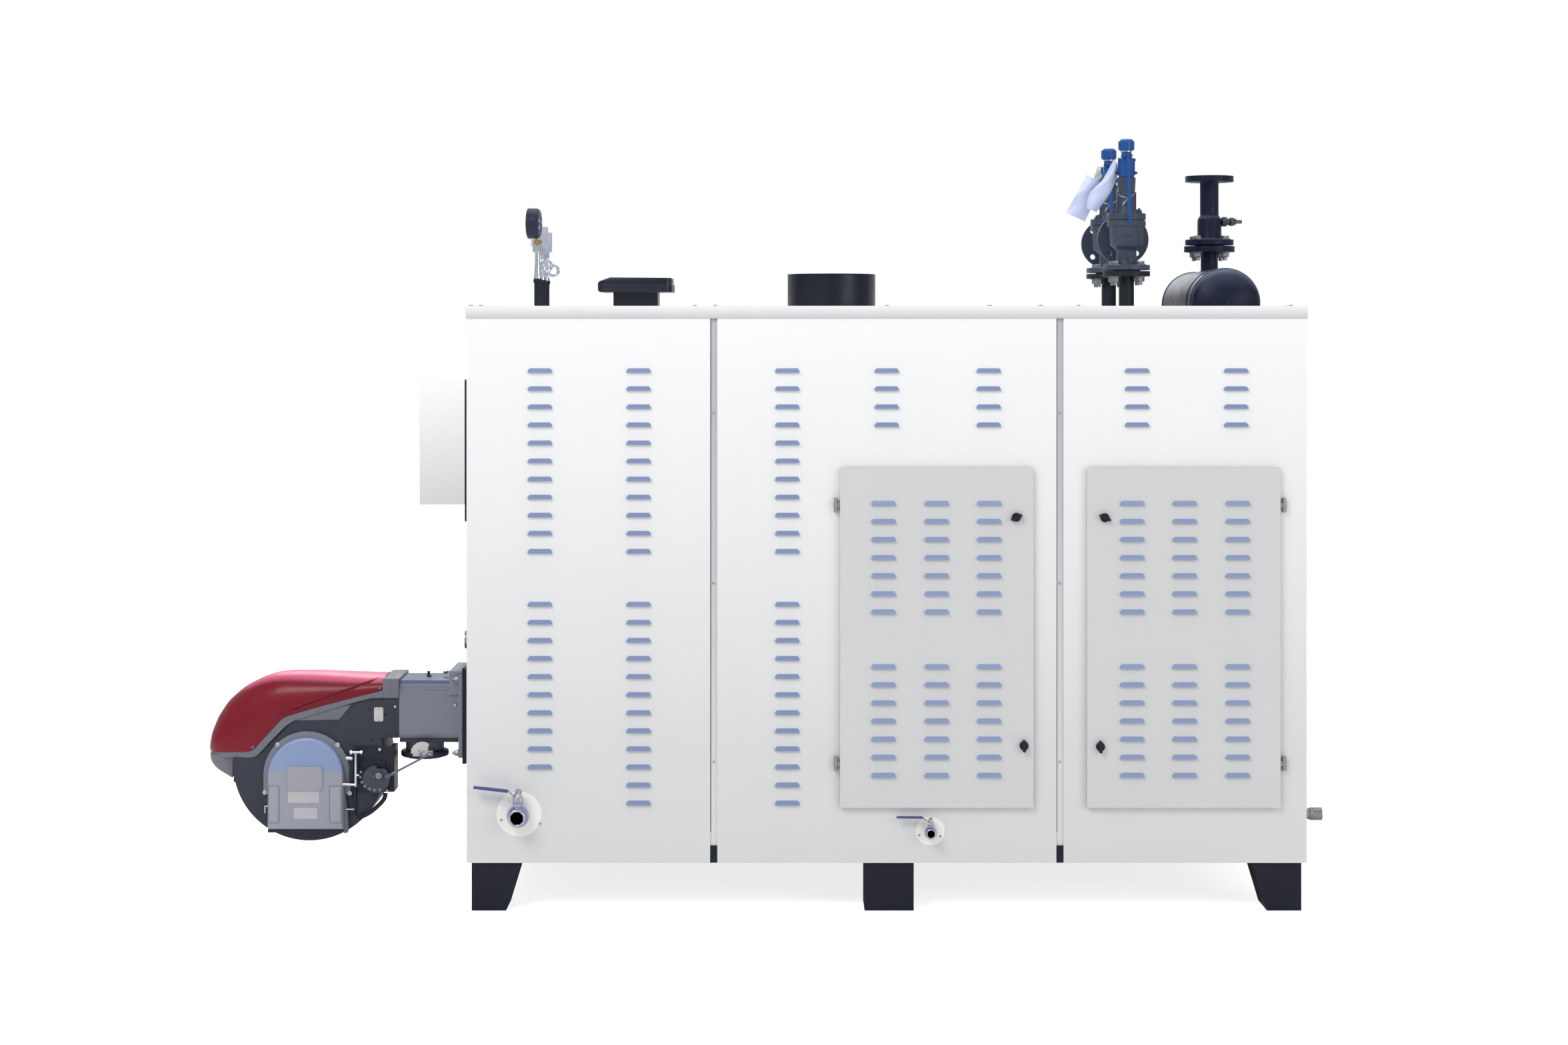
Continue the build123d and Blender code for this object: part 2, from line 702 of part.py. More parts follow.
def make_cam():
    """Eccentric cam disc on the servomotor's shaft, with the pin that drives the link."""
    x, z = burner_point(cam_back, cam_up)
    plane_y = mid_y + link_plane
    off_x, off_z = -9, -12
    with BuildPart() as cam:
        rod((x + off_x, plane_y - 8, z + off_z), (x + off_x, plane_y, z + off_z), 44)
        block((x + off_x + 2, plane_y - 9, z + 22), (x + 60, plane_y + 1, z + 60), mode=Mode.SUBTRACT)
        rod((x, plane_y - 12, z), (x, plane_y, z), 14)
        rod((x, plane_y - 1, z), (x, plane_y + 13, z), shaft_r)
        block((x, plane_y - 8, z - 8), (x + link_arm + 7, plane_y, z + 8))
        rod((x + link_arm, plane_y - 22, z), (x + link_arm, plane_y - 4, z), link_pin_r)
    keep(cam, "burner_cam")


def make_link_rod():
    """Straight rod between the cam's pin and the butterfly lever's pin."""
    ax, az = burner_point(cam_back, cam_up)
    bx, bz = burner_point(lever_back, lever_up)
    start = (ax + link_arm, az)
    end = (bx + link_arm, bz)
    low_y = mid_y + link_plane - 20
    with BuildPart() as link:
        for x, z in (start, end):
            rod((x, low_y, z), (x, low_y + 6, z), 7)
        rod((start[0], low_y + 3, start[1]), (end[0], low_y + 3, end[1]), 2.6)
        for x, z in (start, end):
            rod((x, low_y - 1, z), (x, low_y + 7, z), link_pin_r + 0.08, mode=Mode.SUBTRACT)
    keep(link, "burner_link_rod")


def make_gas_lever():
    """Quadrant lever on the gas butterfly valve's shaft."""
    x, z = burner_point(lever_back, lever_up)
    plane_y = mid_y + link_plane
    with BuildPart() as lever:
        rod((x, plane_y - 6, z), (x, plane_y, z), 26)
        block((x - 40, plane_y - 7, z - 40), (x + 40, plane_y + 1, z - 9), mode=Mode.SUBTRACT)
        block((x, plane_y - 6, z - 8), (x + link_arm + 7, plane_y, z + 8))
        rod((x, plane_y - 1, z), (x, plane_y + 42, z), shaft_r)
        rod((x + link_arm, plane_y - 22, z), (x + link_arm, plane_y - 3, z), link_pin_r)
    keep(lever, "gas_lever")


def make_control_box():
    """Control cabinet on the burner end and the upright plate it hangs on."""
    x1 = case_left - box_standoff
    with BuildPart() as box:
        block((x1 - box_depth, box_front_y, box_bottom), (x1, box_front_y + box_width, box_bottom + box_height))
        fillet(box.faces().sort_by(Axis.X)[0].edges(), 4)
    keep(box, "control_box")
    with BuildPart() as bracket:
        block((x1, box_front_y + 2, box_bottom - 54),
              (case_left, box_front_y + box_width - 2, box_bottom + box_height - 2))
        block((x1 + 3, box_front_y + 40, box_bottom - 60),
              (case_left + 1, box_front_y + box_width - 40, box_bottom + box_height), mode=Mode.SUBTRACT)
    keep(bracket, "control_box_bracket")


def make_sight_port():
    """Flame sight port on the burner end."""
    with BuildPart() as port:
        rod((body_left, mid_y, sight_port_z), (case_left - 60, mid_y, sight_port_z), sight_port_r)
        rod((case_left - 60, mid_y, sight_port_z), (case_left - 78, mid_y, sight_port_z), sight_port_r + 5)
    keep(port, "sight_port")


def make_feed_stub():
    """Feed water pipe stub with a threaded coupling."""
    end = -burner_end
    with BuildPart() as stub:
        rod((body_right, stub_y, stub_z), (end - 24, stub_y, stub_z), stub_pipe_r)
        rod((end - 38, stub_y, stub_z), (end, stub_y, stub_z), stub_coupling_r)
        rod((end - 22, stub_y, stub_z), (end + 1, stub_y, stub_z), stub_bore_r, mode=Mode.SUBTRACT)
    keep(stub, "feed_stub")


def make_flue_collar():
    """Round flue collar, open at the top, a little narrower below the roof."""
    with BuildPart() as collar:
        rod((flue_x, mid_y, body_top), (flue_x, mid_y, case_top), flue_r - 1)
        rod((flue_x, mid_y, case_top), (flue_x, mid_y, flue_top), flue_r)
        rod((flue_x, mid_y, body_top + flue_floor), (flue_x, mid_y, flue_top + 1), flue_r - flue_wall,
            mode=Mode.SUBTRACT)
    keep(collar, "flue_collar")


def make_hatch():
    """Relief hatch: a square neck and a cover with a rounded nose and a stepped edge."""
    with BuildPart() as neck:
        block((hatch_x - hatch_neck / 2, mid_y - hatch_neck / 2, body_top),
              (hatch_x + hatch_neck / 2, mid_y + hatch_neck / 2, hatch_low))
    keep(neck, "hatch_neck")
    half = hatch_cover / 2
    nose, heel = hatch_x - half, hatch_x + half
    with BuildPart() as cover:
        with BuildSketch(Plane.XZ.offset(-(mid_y + half))) as side:
            with BuildLine():
                Polyline((nose, hatch_low), (heel, hatch_low), (heel, hatch_step), (heel - 4, hatch_step),
                         (heel - 4, hatch_high - 2), (nose + 42, hatch_high), (nose, hatch_step + 9), close=True)
            make_face()
            fillet(side.vertices().group_by(Axis.X)[0], 11)
        extrude(amount=hatch_cover)
        with BuildSketch(Plane.XY.offset(hatch_low - 1)):
            with Locations((hatch_x, mid_y)):
                RectangleRounded(hatch_cover + 1, hatch_cover + 1, 24)
        extrude(amount=hatch_high - hatch_low + 2, mode=Mode.INTERSECT)
    keep(cover, "hatch_cover")


def make_gauge_group():
    """Three small risers with the pressure gauge and two pressure switches on them."""
    collar = 12
    with BuildPart() as risers:
        for y in gauge_ys:
            rod((gauge_x, y, body_top), (gauge_x, y, gauge_riser_top - 4), gauge_riser_r)
            rod((gauge_x, y, gauge_riser_top - collar), (gauge_x, y, gauge_riser_top), gauge_riser_r + 2.5)
    keep(risers, "gauge_risers")

    y = gauge_ys[0]
    nut_height, nut_flats, stem_r = 22, 27, 8
    case_back, case_front, bezel = gauge_x + 14, gauge_x - 32, 8
    with BuildPart() as gauge:
        turned((gauge_x, y), [(0, gauge_riser_top), (11, gauge_riser_top), (stem_r, gauge_nut_z),
                              (0, gauge_nut_z)])
        hexagon((gauge_x, y, gauge_nut_z), (gauge_x, y, gauge_nut_z + nut_height), nut_flats)
        rod((gauge_x, y, gauge_nut_z + nut_height), (gauge_x, y, gauge_z - gauge_case_r + 4), stem_r)
        rod((case_back, y, gauge_z), (case_front + 2, y, gauge_z), gauge_case_r)
        rod((case_front + bezel, y, gauge_z), (case_front, y, gauge_z), gauge_case_r + 1)
    keep(gauge, "pressure_gauge")

    switch_half, switch_left, switch_right, switch_stem_r = 28, 36, 32, 7
    with BuildPart() as switches:
        for y, low in zip(gauge_ys[1:], switch_bottoms):
            rod((gauge_x, y, gauge_riser_top), (gauge_x, y, low), switch_stem_r)
            block((gauge_x - switch_left, y - switch_half, low),
                  (gauge_x + switch_right, y + switch_half, low + switch_height))
    keep(switches, "pressure_switches")


def make_drum():
    """Steam drum lying across the roof, its dished heads front and back, on two legs."""
    inner_r = drum_r - drum_knuckle
    crown_set_back = (inner_r ** 2 - (drum_head - drum_knuckle) ** 2) / (2 * (drum_head - drum_knuckle))
    crown_r = drum_head + crown_set_back
    share = drum_knuckle / (crown_r - drum_knuckle)
    knuckle_end = (crown_set_back * share, inner_r * (1 + share))
    with BuildPart() as drum:
        with BuildSketch(Plane(origin=(drum_x, 0, drum_z), x_dir=(0, 1, 0), z_dir=(1, 0, 0))):
            with BuildLine():
                for end_y, way in ((drum_front_y, -1), (drum_back_y, 1)):
                    turn = (end_y + way * knuckle_end[0], knuckle_end[1])
                    TangentArc((end_y, drum_r), turn, tangent=(way, 0))
                    TangentArc((end_y + way * drum_head, 0), turn, tangent=(0, 1))
                Line((drum_front_y, drum_r), (drum_back_y, drum_r))
                Line((drum_front_y - drum_head, 0), (drum_back_y + drum_head, 0))
            make_face()
        revolve(axis=Axis((drum_x, 0, drum_z), (0, 1, 0)))
        with Locations((drum_x, drum_front_y + 120, body_top), (drum_x, drum_back_y - 120, body_top)):
            Cylinder(drum_leg_r, drum_z - body_top - 35, align=(Align.CENTER, Align.CENTER, Align.MIN))
    keep(drum, "steam_drum")


def make_steam_outlet():
    """Steam outlet: neck with a flange, and the valve body bolted on it."""
    x, y = drum_x, steam_outlet_y
    low_flange = steam_flange_z - steam_flange
    pipe_r, barrel_r, bottom, top = 30.2, 38.5, steam_flange_z, steam_valve_top
    with BuildPart() as neck:
        rod((x, y, drum_z + 50), (x, y, low_flange), steam_pipe_r)
        rod((x, y, low_flange), (x, y, steam_flange_z), dn50_r)
        with BuildSketch(Plane(origin=(x, 0, drum_z), x_dir=(0, 1, 0), z_dir=(1, 0, 0))):
            with BuildLine():
                Polyline((drum_front_y, 0), (drum_back_y, 0), (drum_back_y, drum_r), (drum_front_y, drum_r),
                         close=True)
            make_face()
        revolve(axis=Axis((x, 0, drum_z), (0, 1, 0)), mode=Mode.SUBTRACT)
        bolt_ring((x, y, low_flange + steam_flange / 2), (0, 0, 1), dn50_pcd, bolt_hole_r, flange_cut)
    keep(neck, "steam_neck")

    with BuildPart() as valve:
        turned((x, y), [(0, bottom), (dn50_r, bottom), (dn50_r, bottom + 20), (barrel_r, bottom + 24),
                        (barrel_r, cock_z + 16), (pipe_r, cock_z + 36), (pipe_r, top - 20), (dn50_r, top - 20),
                        (dn50_r, top), (0, top)])
        rod((x, y, 2200), (x, y, top + 1), dn50_bore_r, mode=Mode.SUBTRACT)
        rod((x + 30, y, cock_z), (x + 62, y, cock_z), 8)
        hexagon((x + 38, y, cock_z), (x + 56, y, cock_z), 30)
        hexagon((x + 62, y, cock_z), (x + 84, y, cock_z), 24)
        rod((x + 84, y, cock_z), (x + 108, y, cock_z), 9)
        for z in (bottom + 10, top - 10):
            bolt_ring((x, y, z), (0, 0, 1), dn50_pcd, bolt_hole_r, flange_cut)
    keep(valve, "steam_valve")


def make_safety_risers():
    """Two upright pipes with flanges under the safety valves."""
    with BuildPart() as risers:
        for y in safety_ys:
            low_flange = safety_flange_z - safety_flange
            rod((safety_x, y, body_top), (safety_x, y, low_flange), riser_r)
            rod((safety_x, y, low_flange), (safety_x, y, safety_flange_z), dn40_r)
            bolt_ring((safety_x, y, low_flange + safety_flange / 2), (0, 0, 1), dn40_pcd, bolt_hole_r,
                      flange_cut)
    keep(risers, "safety_risers")


def make_safety_valve(label, y):
    """Full-lift spring safety valve body with its bonnet and side outlet."""
    x, z = safety_x, safety_outlet_z
    foot, top = safety_flange_z, safety_cap_z
    neck_r, body_r, joint_r = 34, 53, 61
    end = y + safety_outlet_reach
    with BuildPart() as valve:
        turned((x, y), [(0, foot), (dn40_r, foot), (dn40_r, foot + 17), (neck_r, foot + 20), (neck_r, foot + 65),
                        (body_r, foot + 77), (body_r, foot + 144), (joint_r, foot + 144), (joint_r, foot + 183),
                        (46, foot + 185), (40, foot + 208), (27, foot + 243), (31, top), (0, top)])
        rod((x, y, z), (x, end - 5, z), 36)
        rod((x, end - safety_outlet_flange, z), (x, end, z), dn50_r)
        rod((x, end - 50, z), (x, end + 1, z), dn50_bore_r, mode=Mode.SUBTRACT)
        bolt_ring((x, y, foot + 9), (0, 0, 1), dn40_pcd, bolt_hole_r, flange_cut)
        bolt_ring((x, end - safety_outlet_flange / 2, z), (0, 1, 0), dn50_pcd, bolt_hole_r, flange_cut)
    keep(valve, label)


def make_safety_caps():
    """Caps over the safety valves' spindles, with the ears that carry the lift levers."""
    x, foot = safety_x, safety_cap_z
    with BuildPart() as caps:
        for y in safety_ys:
            turned((x, y), [(0, foot), (22.5, foot), (22.5, foot + 60), (16.5, foot + 64), (16.5, foot + 84),
                            (23.5, foot + 87), (23.5, foot + 116), (18, foot + 122), (0, foot + 122)])
            for side in (-1, 1):
                block((x + side * 9 - 3, y - lift_pivot_out - 5, lift_pivot_z - 6),
                      (x + side * 9 + 3, y, lift_pivot_z + 6))
            rod((x - 12, y - lift_pivot_out, lift_pivot_z), (x + 12, y - lift_pivot_out, lift_pivot_z), 2.5)
    keep(caps, "safety_caps")


def make_lift_lever(label, y):
    """Flat lift lever hanging in front of the bonnet from a pin under the cap."""
    x, pivot_y = safety_x, y - lift_pivot_out
    foot_y = pivot_y - lift_lever_slope
    with BuildPart() as lever:
        with BuildSketch(Plane.YZ.offset(x - lift_lever_width / 2)):
            with BuildLine():
                Polyline((pivot_y - 6, lift_pivot_z + 5), (pivot_y + 6, lift_pivot_z + 5),
                         (foot_y + 7, lift_pivot_z - lift_lever_length),
                         (foot_y - 7, lift_pivot_z - lift_lever_length), close=True)
            make_face()
        extrude(amount=lift_lever_width)
        rod((x - 10, pivot_y, lift_pivot_z), (x + 10, pivot_y, lift_pivot_z), 2.56, mode=Mode.SUBTRACT)
    keep(lever, label)


def make_ball_valve(prefix, x, z, plate_r, body_r, end_flats, bore_r, reach, stem, handle_start, handle_end,
                    handle_rise, handle_slope, handle_half):
    """A ball valve on a pipe through the front sheet: wall plate, hexagonal ends, round body and lever."""
    stem_y = front_y - reach / 2
    rear, waist, shoulder = reach * 0.08, reach * 0.24, reach * 0.76
    face = front_y - reach
    stem_r = body_r * 0.42
    with BuildPart() as valve:
        rod((x, front_y, z), (x, front_y - wall_plate, z), plate_r)
        hexagon((x, front_y, z), (x, front_y - waist, z), end_flats * 0.9)
        with BuildSketch(Plane(origin=(x, front_y, z), x_dir=(0, -1, 0), z_dir=(1, 0, 0))) as half:
            with BuildLine():
                Polyline((shoulder, 0), (rear, 0), (rear, end_flats * 0.4), (waist, end_flats * 0.46))
                ThreePointArc((waist, end_flats * 0.46), (reach / 2, body_r), (shoulder, end_flats * 0.46))
                Line((shoulder, end_flats * 0.46), (shoulder, 0))
            make_face()
        revolve(half.sketch, Axis((x, front_y, z), (0, -1, 0)))
        hexagon((x, front_y - shoulder + 2, z), (x, face, z), end_flats)
        rod((x, front_y - reach * 0.7, z), (x, face - 1, z), bore_r, mode=Mode.SUBTRACT)
        rod((x, stem_y, z + body_r * 0.5), (x, stem_y, z + stem), stem_r)
    keep(valve, f"{prefix}_valve")

    low = z + stem + 1
    handle_z = z + handle_rise
    with BuildPart() as lever:
        rod((x, stem_y, low), (x, stem_y, low + 12), body_r * 0.36)
        with BuildSketch(Plane.XZ.offset(-(stem_y + handle_half))):
            with BuildLine():
                Polyline((x + 9, low + 3), (x + 9, low + 6), (x - 12, low + 6), (handle_end, handle_z + 2),
                         (handle_start, handle_z + 2 + handle_slope), (handle_start, handle_z - 3 + handle_slope),
                         (handle_end, handle_z - 3), (x - 14, low + 3), close=True)
            make_face()
        extrude(amount=2 * handle_half)
    keep(lever, f"{prefix}_lever")


make_base_frame()
make_feet()
make_boiler_body()
make_front_panels()
make_back_panels()
make_seam_strips()
make_end_panels()
make_roof()
make_door("door_left", door_left_x, -1, (397.3, 558.6, 717.9))
make_door("door_right", door_right_x, 1, (1152.1, 1311.4, 1472.7))
make_hinges()
for latch_label, (latch_x, latch_z, latch_turn) in latch_places.items():
    make_latch(latch_label, latch_x, latch_z, latch_turn)
make_burner_neck()
make_burner_manifold()
make_burner_housing()
make_burner_band()
make_burner_cover()
make_burner_intake()
make_burner_motor()
make_servo()
make_cam()
make_link_rod()
make_gas_lever()
make_control_box()
make_sight_port()
make_feed_stub()
make_flue_collar()
make_hatch()
make_gauge_group()
make_drum()
make_steam_outlet()
make_safety_risers()
make_safety_valve("safety_valve_front", safety_ys[0])
make_safety_valve("safety_valve_rear", safety_ys[1])
make_safety_caps()
make_lift_lever("lift_lever_front", safety_ys[0])
make_lift_lever("lift_lever_rear", safety_ys[1])
for valve_name, sizes in ball_valves.items():
    make_ball_valve(valve_name, **sizes)
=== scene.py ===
"""Looks of the packaged steam boiler: materials, fittings, screws, light and camera.

Places are in millimetres in the boiler's own frame and are turned into metres as meshes
are made. The front faces -Y, +X runs along the casing away from the burner, +Z is up.
"""
from math import cos, pi, radians, sin, sqrt

import bmesh
import bpy
from mathutils import Matrix, Vector


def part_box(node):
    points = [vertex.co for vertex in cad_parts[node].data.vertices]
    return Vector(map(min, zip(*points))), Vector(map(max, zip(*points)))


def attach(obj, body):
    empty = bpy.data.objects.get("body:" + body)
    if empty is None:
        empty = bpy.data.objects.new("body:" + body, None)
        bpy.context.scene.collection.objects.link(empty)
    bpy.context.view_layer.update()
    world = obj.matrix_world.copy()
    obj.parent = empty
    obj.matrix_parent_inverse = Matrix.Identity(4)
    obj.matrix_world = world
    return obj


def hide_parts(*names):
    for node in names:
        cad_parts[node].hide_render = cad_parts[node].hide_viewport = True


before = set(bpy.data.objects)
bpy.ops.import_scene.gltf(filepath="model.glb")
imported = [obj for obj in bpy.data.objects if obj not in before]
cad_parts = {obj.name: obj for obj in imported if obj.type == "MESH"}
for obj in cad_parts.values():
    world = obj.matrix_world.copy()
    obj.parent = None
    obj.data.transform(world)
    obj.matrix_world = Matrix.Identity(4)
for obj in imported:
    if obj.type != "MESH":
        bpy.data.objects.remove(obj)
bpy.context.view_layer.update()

MM = 0.001


def place(node):
    """Lowest and highest corner of a CAD node, in millimetres."""
    low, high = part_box(node)
    return low / MM, high / MM


def middle(node):
    """Centre of a CAD node's box, in millimetres."""
    low, high = place(node)
    return (low + high) / 2


# Driving places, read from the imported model
front = place("front_panel_middle_sill")[0].y
back = place("roof_panel")[1].y - 3
case_left = place("end_panel_burner")[0].x
case_right = place("end_panel_far")[1].x
roof_top = place("roof_panel")[1].z
lip_bottom = place("roof_panel")[0].z
door_face = place("door_left")[0].y + 9
mid_y = middle("flue_collar").y
flue_x = middle("flue_collar").x
flange_x = place("burner_neck")[0].x
burner_z = 530
safety_ys = (front + 390, front + 850)
safety_x = middle("lift_lever_front").x
drum_x = middle("steam_drum").x
outlet_y = middle("steam_neck").y
gauge_x = -692
gauge_ys = (front + 400, front + 560, front + 710)
to_front, to_back, to_sky = (0, -1, 0), (0, 1, 0), (0, 0, 1)

# Materials


def linear(rgb):
    """Screen colour from 0 to 255 as linear values."""
    def one(value):
        value /= 255
        return value / 12.92 if value <= 0.04045 else ((value + 0.055) / 1.055) ** 2.4
    return tuple(one(value) for value in rgb) + (1.0,)


class Nodes:
    """A node tree under construction."""

    def __init__(self, tree):
        self.tree = tree

    def node(self, kind, inputs=(), **values):
        """A new node, with the values of its inputs as pairs and its other settings by name."""
        made = self.tree.nodes.new(kind)
        for key, value in values.items():
            setattr(made, key, value)
        for key, value in inputs:
            made.inputs[key].default_value = value
        return made

    def feed(self, socket, source):
        """Give a socket a colour or another node's output."""
        if isinstance(source, tuple):
            socket.default_value = source
        else:
            self.tree.links.new(source, socket)


class Finish(Nodes):
    """One procedural material, built up from a principled shader."""

    def __init__(self, name, roughness=0.4, metallic=0.0, sheen=0.5):
        self.material = bpy.data.materials.new(name)
        self.material.use_nodes = True
        super().__init__(self.material.node_tree)
        self.shader = self.tree.nodes["Principled BSDF"]
        self.sockets = self.shader.inputs
        for key, value in (("Roughness", roughness), ("Metallic", metallic), ("Specular IOR Level", sheen)):
            self.sockets[key].default_value = value
        self.coords = self.node("ShaderNodeTexCoord").outputs["Object"]
        self.normal = None

    def noise(self, scale, detail, stretch=None):
        """A noise value over the object, with cells of about 1/scale metres."""
        made = self.node("ShaderNodeTexNoise", (("Scale", scale), ("Detail", detail)))
        source = self.coords
        if stretch:
            mapping = self.node("ShaderNodeMapping", (("Scale", stretch),))
            self.feed(mapping.inputs["Vector"], source)
            source = mapping.outputs["Vector"]
        self.feed(made.inputs["Vector"], source)
        return made.outputs["Fac"]

    def spread(self, source, low, high, from_low=0.3, from_high=0.7):
        """A value stretched to a new range."""
        made = self.node("ShaderNodeMapRange", (("From Min", from_low), ("From Max", from_high),
                                                ("To Min", low), ("To Max", high)))
        self.feed(made.inputs["Value"], source)
        return made.outputs["Result"]

    def blend(self, fac, first, second, way="MIX"):
        """Two colours, mixed by a value."""
        made = self.node("ShaderNodeMix", data_type="RGBA", blend_type=way)
        self.feed(made.inputs["Factor"], fac)
        self.feed(made.inputs["A"], first)
        self.feed(made.inputs["B"], second)
        return made.outputs["Result"]

    def split(self, source, axis):
        """One part of a vector."""
        parts = self.node("ShaderNodeSeparateXYZ")
        self.feed(parts.inputs["Vector"], source)
        return parts.outputs[axis]

    def along(self, axis, low, high):
        """0 at one place in millimetres along X, Y or Z, 1 at another."""
        return self.spread(self.split(self.coords, axis), 0, 1, low * MM, high * MM)

    def facing(self):
        """The surface's own direction, before any relief."""
        return self.node("ShaderNodeNewGeometry").outputs["Normal"]

    def upward(self, low, high):
        """0 to 1 as the surface turns from one slope towards the sky to another."""
        return self.spread(self.split(self.facing(), "Z"), 0, 1, low, high)

    def edge_mask(self, radius, low=0.02, high=0.25):
        """1 on convex and concave edges within a radius in millimetres, else 0."""
        soft = self.node("ShaderNodeBevel", (("Radius", radius * MM),), samples=4)
        dot = self.node("ShaderNodeVectorMath", operation="DOT_PRODUCT")
        self.feed(dot.inputs[0], soft.outputs["Normal"])
        self.feed(dot.inputs[1], self.facing())
        return self.spread(dot.outputs["Value"], 1, 0, 1 - high, 1 - low)

    def bump(self, source, height):
        """Relief of a height in millimetres, added to any before it."""
        made = self.node("ShaderNodeBump", (("Distance", height * MM), ("Strength", 1.0)))
        self.feed(made.inputs["Height"], source)
        if self.normal is not None:
            self.feed(made.inputs["Normal"], self.normal)
        self.normal = made.outputs["Normal"]
        self.feed(self.sockets["Normal"], self.normal)

    def mottle(self, base, shade, fine):
        """The base colour with a darker tone in soft blotches of a noise."""
        dull = tuple(c * shade for c in base[:3]) + (1.0,)
        self.feed(self.sockets["Base Color"], self.blend(self.spread(fine, 0, 1), base, dull))

    def vary(self, roughness, fine, low, high):
        """Roughness between two shares of its value, over a noise."""
        self.feed(self.sockets["Roughness"], self.spread(fine, roughness * low, min(1, roughness * high)))


edge_wear_and_highlight_width = 1.2


def paint(name, rgb, roughness=0.35, peel=0.05, shade=0.94, coat=0.0, edge_wear_and_highlight=None, height_shade=None, hood_reflections=(),
          sky=None, sheen=0.5):
    """Sprayed paint: slight orange peel and faint mottling, with lighter edges if asked, partly wear and
    partly a painted highlight.

    The painted shade by height is the lower height, the upper height and the colour at the lower
    one. The painted sky reflection on louvre hoods lists (Y limit, other Y limit, colour) of what
    stands out of a sheet. sky is a slope, a steeper slope and the colour of what faces up that far,
    for a painted highlight and sky reflection.
    """
    finish = Finish(name, roughness, sheen=sheen)
    base = linear(rgb)
    # Painted shade: the colour changes with height.
    if height_shade:
        low, high, rgb_low = height_shade
        base = finish.blend(finish.along("Z", low, high), linear(rgb_low), base)
    # Painted sky reflection on what stands out of the sheet, the louvre hoods.
    for start, end, rgb_reflection in hood_reflections:
        base = finish.blend(finish.along("Y", start, end), base, linear(rgb_reflection))
    # Painted highlight and sky reflection on faces that turn up.
    if sky:
        low, high, rgb_reflected = sky
        base = finish.blend(finish.upward(low, high), base, linear(rgb_reflected))
    cloud = finish.spread(finish.noise(6, 5), 0, 1)
    mixed = finish.blend(cloud, base, (shade, shade, shade, 1), "MULTIPLY")
    # Lighter edges: wear, and on the hatch lid also a painted edge highlight.
    if edge_wear_and_highlight:
        mask = finish.node("ShaderNodeMath", operation="MULTIPLY")
        finish.feed(mask.inputs[0], finish.edge_mask(edge_wear_and_highlight_width))
        finish.feed(mask.inputs[1], finish.spread(finish.noise(160, 4), 0, 1, 0.42, 0.58))
        mixed = finish.blend(mask.outputs["Value"], mixed, linear(edge_wear_and_highlight))
    finish.feed(finish.sockets["Base Color"], mixed)
    finish.vary(roughness, finish.noise(25, 4), 0.85, 1.2)
    if coat:
        finish.sockets["Coat Weight"].default_value = coat
        finish.sockets["Coat Roughness"].default_value = 0.08
    finish.bump(finish.noise(700, 2), peel)
    return finish.material


def metal(name, rgb, roughness=0.3, stretch=(2, 2, 2), grain=0.03, shade=0.85, scale=60):
    """Bare or plated metal with a fine directional grain."""
    finish = Finish(name, roughness, 1.0)
    finish.mottle(linear(rgb), shade, finish.noise(scale, 4, stretch))
    finish.vary(roughness, finish.noise(scale * 2, 3, stretch), 0.75, 1.35)
    finish.bump(finish.noise(scale * 8, 2, stretch), grain)
    return finish.material


def casting(name, rgb, roughness=0.5, lump=0.25, shade=0.9):
    """Sand or die casting under paint: a pebbled skin with soft blotches."""
    finish = Finish(name, roughness, sheen=0.35)
    finish.mottle(linear(rgb), shade, finish.noise(18, 5))
    finish.vary(roughness, finish.noise(60, 4), 0.8, 1.25)
    finish.bump(finish.noise(220, 3), lump)
    finish.bump(finish.noise(40, 2), lump)
    return finish.material


def plastic(name, rgb, roughness=0.35, peel=0.02, sheen=0.5):
    """Moulded plastic with a very fine grain."""
    finish = Finish(name, roughness, sheen=sheen)
    finish.mottle(linear(rgb), 0.92, finish.noise(9, 4))
    finish.vary(roughness, finish.noise(80, 3), 0.85, 1.2)
    finish.bump(finish.noise(900, 2), peel)
    return finish.material


# Painted sky reflection: the blue given to the louvre hoods of the casing and doors.
louvre_reflection_rgb = (124, 141, 180)
door_louvre_reflection_rgb = (136, 152, 190)
# Painted shade by height: the casing panels, roof lip and cabinet get darker towards the bottom, the seam
# strips darker towards the top.
panel_painted_shade = (500, 1790, (216, 216, 216))
roof_lip_painted_shade = (lip_bottom, roof_top - 4, (199, 199, 199))
box_painted_shade = (1240, 1600, (217, 217, 217))
strip_painted_shade = (300, 1500, (226, 224, 224))
# Y limits where the louvre hoods stand out of the sheets and doors, with their painted reflection blue.
front_hood_reflection = (front - 0.2, front - 0.7, louvre_reflection_rgb)
back_hood_reflection = (back + 0.2, back + 0.7, louvre_reflection_rgb)
door_hood_reflection = (door_face - 0.2, door_face - 0.7, door_louvre_reflection_rgb)
# Painted highlight and sky reflection: lighter colours on faces that turn up, on the drum, burner cover, gas
# head and intake.
drum_sky_reflection = (0.25, 0.85, (88, 98, 122))
cover_top_highlight = (0.72, 0.98, (238, 104, 146))
head_sky_reflection = (0.15, 0.8, (66, 82, 116))
intake_sky_reflection = (0.05, 0.16, (134, 152, 190))

